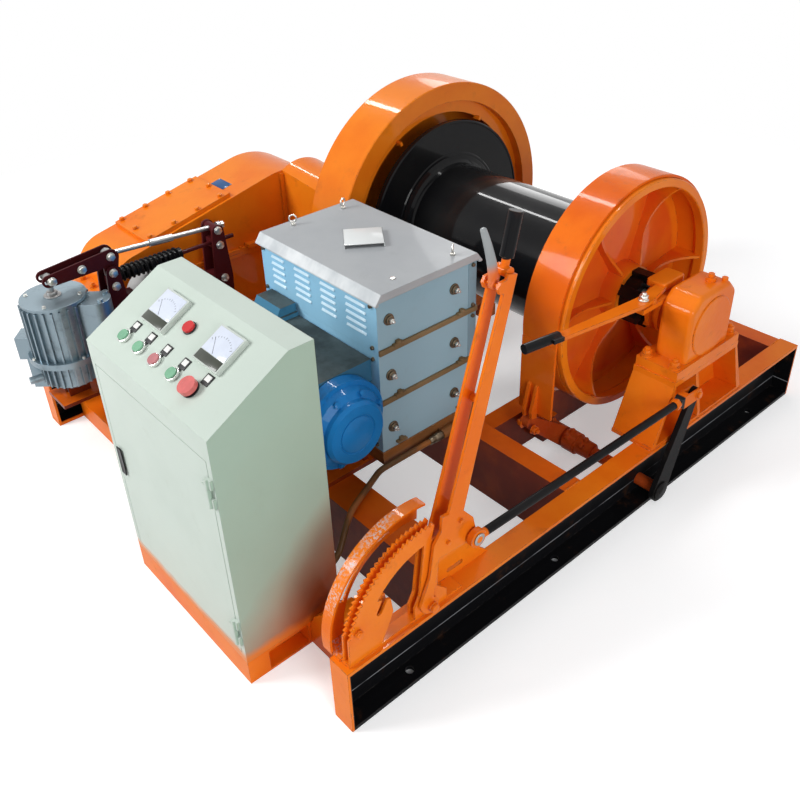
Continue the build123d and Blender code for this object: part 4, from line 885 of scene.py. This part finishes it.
lever_orange = enamel("lever_orange", orange, orange_thin, (0.18, 0.05, 0.02), gloss=0.18, peel=0.25,
                      chips=0.4, chip=(0.25, 0.16, 0.10), patch=black_grip)
coat(lever_orange, "brake_lever")
q_y, q_z = -0.730, 0.232
plate_out = q_high.x - 0.005
seams = [((plate_out, q_low.y + 0.004, 0.2005), (plate_out, -0.623, 0.2005)),
         ((plate_out - 0.035, q_low.y, 0.2015), (plate_out - 0.002, q_low.y, 0.2015)),
         ((plate_out - 0.0065, q_low.y + 0.012, 0.2095), (plate_out - 0.0065, -0.875, 0.2095)),
         ((0.780, -0.690, 0.2095), (0.780, -0.520, 0.2095))]
weld("quadrant_welds", seams, quadrant_orange, width=0.005)
spacer = touch("brake_quadrant", (0.9, q_y - 0.206, q_z + 0.062), (-1, 0, 0), 0.2)
finish(copies("spacer_bolt", bolt(0.016, 0.005, 0.011), [spacer]), quadrant_orange)
spots = [(q_y + 0.024, q_z + 0.075), (q_y + 0.052, q_z + 0.165), (q_y + 0.092, q_z + 0.205)]
rivets = [touch("brake_lever", (0.9, y, z), (-1, 0, 0), y * 9) for y, z in spots]
finish(copies("lever_rivets", m6, rivets), lever_orange, "hand_lever")
pins = [aimed((0.848, q_y, q_z), (1, 0, 0), 0.5)]
finish(copies("lever_pivot_nut", bolt(0.022, 0.007, 0.014), pins), lever_orange,
       "hand_lever")

# Pull rod: black bar with an eye on the lever's pin and an orange fork on the black arm, a lock nut
# behind the fork and pins held by washers.
fork_y, fork_z = 0.291, 0.345
link_y, link_z = -0.600, 0.370


def rod_ends(add, coords, base):
    """The eye and the fork at the ends of the pull rod carry orange paint."""
    y = level(add, coords, 1)
    near = reach(add, y, -0.568, -0.572)
    far = reach(add, y, 0.222, 0.226)
    return mix(add, maths(add, "MAXIMUM", near, far), base, (0.80, 0.16, 0.008))


rod_black = enamel("rod_black", black_enamel, (0.016, 0.015, 0.015), (0.07, 0.055, 0.04), rough=0.32,
                   gloss=0.10, mirror=0.02, chips=0.4, chip=(0.3, 0.28, 0.26), patch=rod_ends)
coat(rod_black, "brake_rod")
fork_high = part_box("brake_rod")[1].x
fork_pin = [aimed((fork_high, fork_y, fork_z), (1, 0, 0), 0.2)]
finish(copies("fork_pin_head", bolt(0.019, 0.006, 0.014), fork_pin), quadrant_orange,
       "pull_rod")
run = Vector((0, fork_y - link_y, fork_z - link_z)).normalized()
rod_x = (arm_low.x + arm_high.x) / 2
lock = hexagon(0.030, -0.008, 0.008)
behind_fork = [aimed(Vector((rod_x, fork_y, fork_z)) - run * 0.092, run, 0.2)]
finish(copies("fork_lock_nut", lock, behind_fork), quadrant_orange, "pull_rod")
eye_pin = [aimed((rod_x + 0.0088, link_y, link_z), (1, 0, 0), 0.2)]
washer = round_bar(0.016, (0, 0, 0), (0, 0, 0.003), 0.0008, 28)
finish(copies("eye_pin_washer", washer, eye_pin), worn_steel, "hand_lever")

# Control desk: folded steel sheet sprayed pale grey green, a full height door on two pin hinges, a
# black pull handle, and orange overspray round its foot.
desk_low, desk_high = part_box("desk_cabinet")


def overspray_and_side_shade(add, coords, base):
    """Orange dust from the frame's coat on the foot of the cabinet and its rear right corner, and painted
    shade darkening the faces turned along X.
    """
    z = level(add, coords, 2)
    y = level(add, coords, 1)
    x = level(add, coords, 0)
    cloud = maths(add, "MULTIPLY_ADD", noise(add, coords, 9.0, 4.0), 0.05, -0.025)
    height = maths(add, "ADD", z, cloud)
    foot = reach(add, height, 0.108, 0.084)
    corner = reach(add, maths(add, "MULTIPLY_ADD", y, -0.9, height), 1.19, 0.93)
    back = times(add, corner, reach(add, x, desk_high.x - 0.002, desk_high.x - 0.0005))
    # Painted shade: faces turned along X are painted a darker grey green.
    grey = times(add, ramp(add, turned(add, 0), 0.5, 0.9), 0.55)
    base = mix(add, grey, base, (0.22, 0.38, 0.26))
    base = mix(add, times(add, back, 0.9), base, (0.40, 0.085, 0.014))
    return mix(add, times(add, foot, 0.88), base, (0.80, 0.21, 0.015))


desk_enamel = enamel("desk_enamel", (0.57, 0.645, 0.58), (0.545, 0.62, 0.555), (0.30, 0.28, 0.20),
                     rough=0.34, peel=0.05, soot=0.08, patch=overspray_and_side_shade)
coat(desk_enamel, "desk_cabinet", "desk_door")
plain_black = enamel("plain_black", (0.010, 0.010, 0.011), (0.02, 0.02, 0.02), (0.05, 0.045, 0.04),
                     rough=0.35, mirror=0.08, peel=0.05)
handle = block((0.024, 0.004, 0.082), (0.0665, desk_low.y + 0.0085, 0.400))
pick(handle, "FACE", lambda face: face.normal.y < -0.9)
bpy.ops.mesh.inset(thickness=0.004, depth=-0.0015)
bpy.ops.object.mode_set(mode="OBJECT")
handle.name = "door_handle"
finish(soften(handle, 0.0012), plain_black, "door")


# Sloping panel: two square moving iron meters, a red lamp, four round push buttons and a mushroom
# stop button. Lamp and buttons sit in turned collars, and each button has a blank legend plate.
def on_panel(u, v, lift=0.0):
    """Matrix on the panel: u from its left edge, v up the slope, lift off the sheet."""
    return (Matrix.Translation((desk_low.x + u, panel_low[0] + v * cos(slope), panel_low[1] + v * sin(slope)))
            @ Matrix.Rotation(slope, 4, "X") @ Matrix.Translation((0, 0, lift)))


def plastic(name, colour, rough=0.3, vary=0.85, gloss=0.3):
    """Moulded plastic with a faint mould grain and handling marks."""
    material, add = fresh(name)
    coords = add("TexCoord").outputs["Object"]
    drift = ramp(add, noise(add, coords, 40.0, 4.0), 0.35, 0.7)
    base = mix(add, drift, colour, tuple(c * vary for c in colour))
    marks = ramp(add, noise(add, coords, 140.0, 6.0, 0.7), 0.55, 0.8)
    shine = add("MapRange", Value=marks, To_Min=rough, To_Max=rough + 0.2).outputs[0]
    bumped = add("Bump", Strength=0.06, Distance=0.0004, Height=noise(add, coords, 900.0, 2.0))
    skin = add("BsdfPrincipled", Base_Color=base, Roughness=shine, Normal=bumped.outputs[0],
               Coat_Weight=gloss, Specular_IOR_Level=0.35, Coat_Roughness=0.12)
    add("OutputMaterial", Surface=skin.outputs[0])
    return material


panel_low, panel_back = (-1.078, 0.742), (-0.865, 0.863)
slope = atan2(panel_back[1] - panel_low[1], panel_back[0] - panel_low[0])
meter_white = plastic("meter_white", (0.66, 0.71, 0.82), 0.12, 0.95, 0.6)
meter_olive = plastic("meter_olive", (0.040, 0.047, 0.032), 0.28)
meter_case = plastic("meter_case", (0.56, 0.61, 0.56), 0.2, 0.92, 0.4)
ink_black = plastic("ink_black", (0.010, 0.010, 0.011), 0.5, 0.8, 0.0)
coat(meter_case, "panel_meters")
meter_u, meter_v, meter_top = (0.160, 0.395), 0.165, 0.012
for side, u in zip(("left", "right"), meter_u):
    on_case = on_panel(u, meter_v, meter_top - 0.0002)
    face = settle(bar((-0.044, -0.0205, 0), (0.044, 0.0435, 0.0012), 0.0004), on_case)
    face.name = f"meter_face_{side}"
    finish(face, meter_white)
    band = settle(bar((-0.044, -0.045, 0), (0.044, -0.0215, 0.0016), 0.0006), on_case)
    band.name = f"meter_band_{side}"
    finish(band, meter_olive)
    ticks = []
    for i in range(11):
        a = radians(140 - i * 10)
        tick = block((0.0006, 0.006 if i % 5 == 0 else 0.0035, 0.0003))
        spot = Matrix.Translation((cos(a) * 0.048, -0.022 + sin(a) * 0.048, 0))
        ticks.append(settle(tick, spot @ Matrix.Rotation(a - pi / 2, 4, "Z")))
    spot = Matrix.Translation((-0.016, -0.002, 0)) @ Matrix.Rotation(radians(40), 4, "Z")
    ticks.append(settle(block((0.0007, 0.044, 0.0003)), spot))
    scale_marks = join(f"meter_scale_{side}", ticks)
    finish(settle(scale_marks, on_panel(u, meter_v, meter_top + 0.0012)), ink_black)

button_green = plastic("button_green", (0.19, 0.44, 0.27), 0.25)
button_red = plastic("button_red", (0.54, 0.19, 0.20), 0.25)
stop_red = plastic("stop_red", (0.70, 0.15, 0.14), 0.2)
lamp_red = plastic("lamp_red", (0.60, 0.012, 0.015), 0.15)
coat(button_green, "push_button_1", "push_button_2", "push_button_4")
coat(button_red, "push_button_3")
coat(stop_red, "emergency_stop")
coat(lamp_red, "indicator_lamp")
chrome = metal("chrome_collar", (0.78, 0.78, 0.76), 0.14, grime=0.15, bump=0.03)
label_white = plastic("label_white", (0.80, 0.80, 0.77), 0.4, 0.95, 0.0)
button_v, button_u = 0.062, (0.108, 0.180, 0.252, 0.330, 0.405)


def collar_ring(inner, outer, tall):
    """A turned collar standing on the origin, with a rounded lip."""
    select_only(None)
    bpy.ops.mesh.primitive_cylinder_add(vertices=36, radius=outer, depth=tall,
                                        location=(0, 0, tall / 2))
    ring = settle(bpy.context.object)
    pick(ring, "FACE", lambda face: abs(face.normal.z) > 0.9)
    bpy.ops.mesh.inset(thickness=outer - inner, depth=0)
    bpy.ops.mesh.bridge_edge_loops()
    bpy.ops.mesh.select_all(action="SELECT")
    bpy.ops.mesh.normals_make_consistent(inside=False)
    bpy.ops.object.mode_set(mode="OBJECT")
    return soften(ring, 0.0012)


small_ring = collar_ring(0.0145, 0.018, 0.0085)
places = [on_panel(u, button_v) for u in button_u[:4]]
finish(copies("button_collars", small_ring, places), chrome)
big_ring = collar_ring(0.0135, 0.0215, 0.0025)
finish(copies("stop_collar", big_ring, [on_panel(button_u[4], button_v)]), ink_black)
lamp_ring = collar_ring(0.0125, 0.0175, 0.0035)
finish(copies("lamp_collar", lamp_ring, [on_panel(0.262, 0.165)]), ink_black)
frame_plate = bar((-0.0130, -0.011, 0), (0.0130, 0.0160, 0.0022), 0.001)
face_plate = bar((-0.0088, -0.002, 0.0016), (0.0088, 0.0125, 0.0030), 0.0006)
stem = bar((-0.005, -0.024, 0), (0.005, -0.009, 0.0020), 0.001)
places = [on_panel(u + 0.004, button_v + 0.031) for u in button_u[:4]]
places.append(on_panel(button_u[4] + 0.020, button_v + 0.034))
finish(copies("legend_frames", frame_plate, places), ink_black)
finish(copies("legend_plates", face_plate, places), label_white)
finish(copies("legend_stems", stem, places[:4]), ink_black)


# Conduit: brown sheathed hose from the desk to the resistor frame, dusted with orange, with a
# turned ferrule where it enters the frame.
def orange_dust(add, coords, base):
    cloud = ramp(add, noise(add, coords, 7.0, 4.0), 0.42, 0.62)
    return mix(add, times(add, cloud, 0.55), base, (0.50, 0.16, 0.03))


hose_brown = enamel("hose_brown", (0.16, 0.085, 0.035), (0.10, 0.055, 0.025), (0.05, 0.03, 0.02),
                    rough=0.45, peel=0.3, patch=orange_dust)
coat(hose_brown, "cable_conduit")
hose_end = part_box("cable_conduit")[1].y
hose_x, hose_z = base_high.x - 0.015, 0.226
ferrule = [round_bar(radius, (hose_x, hose_end - far, hose_z), (hose_x, hose_end - near, hose_z), 0.002, 28)
           for radius, far, near in ((0.0135, 0.030, 0.001), (0.0115, 0.050, 0.028))]
finish(join("hose_ferrule", ferrule), bronze_dark)

for piece in patterns:
    bpy.data.objects.remove(piece)
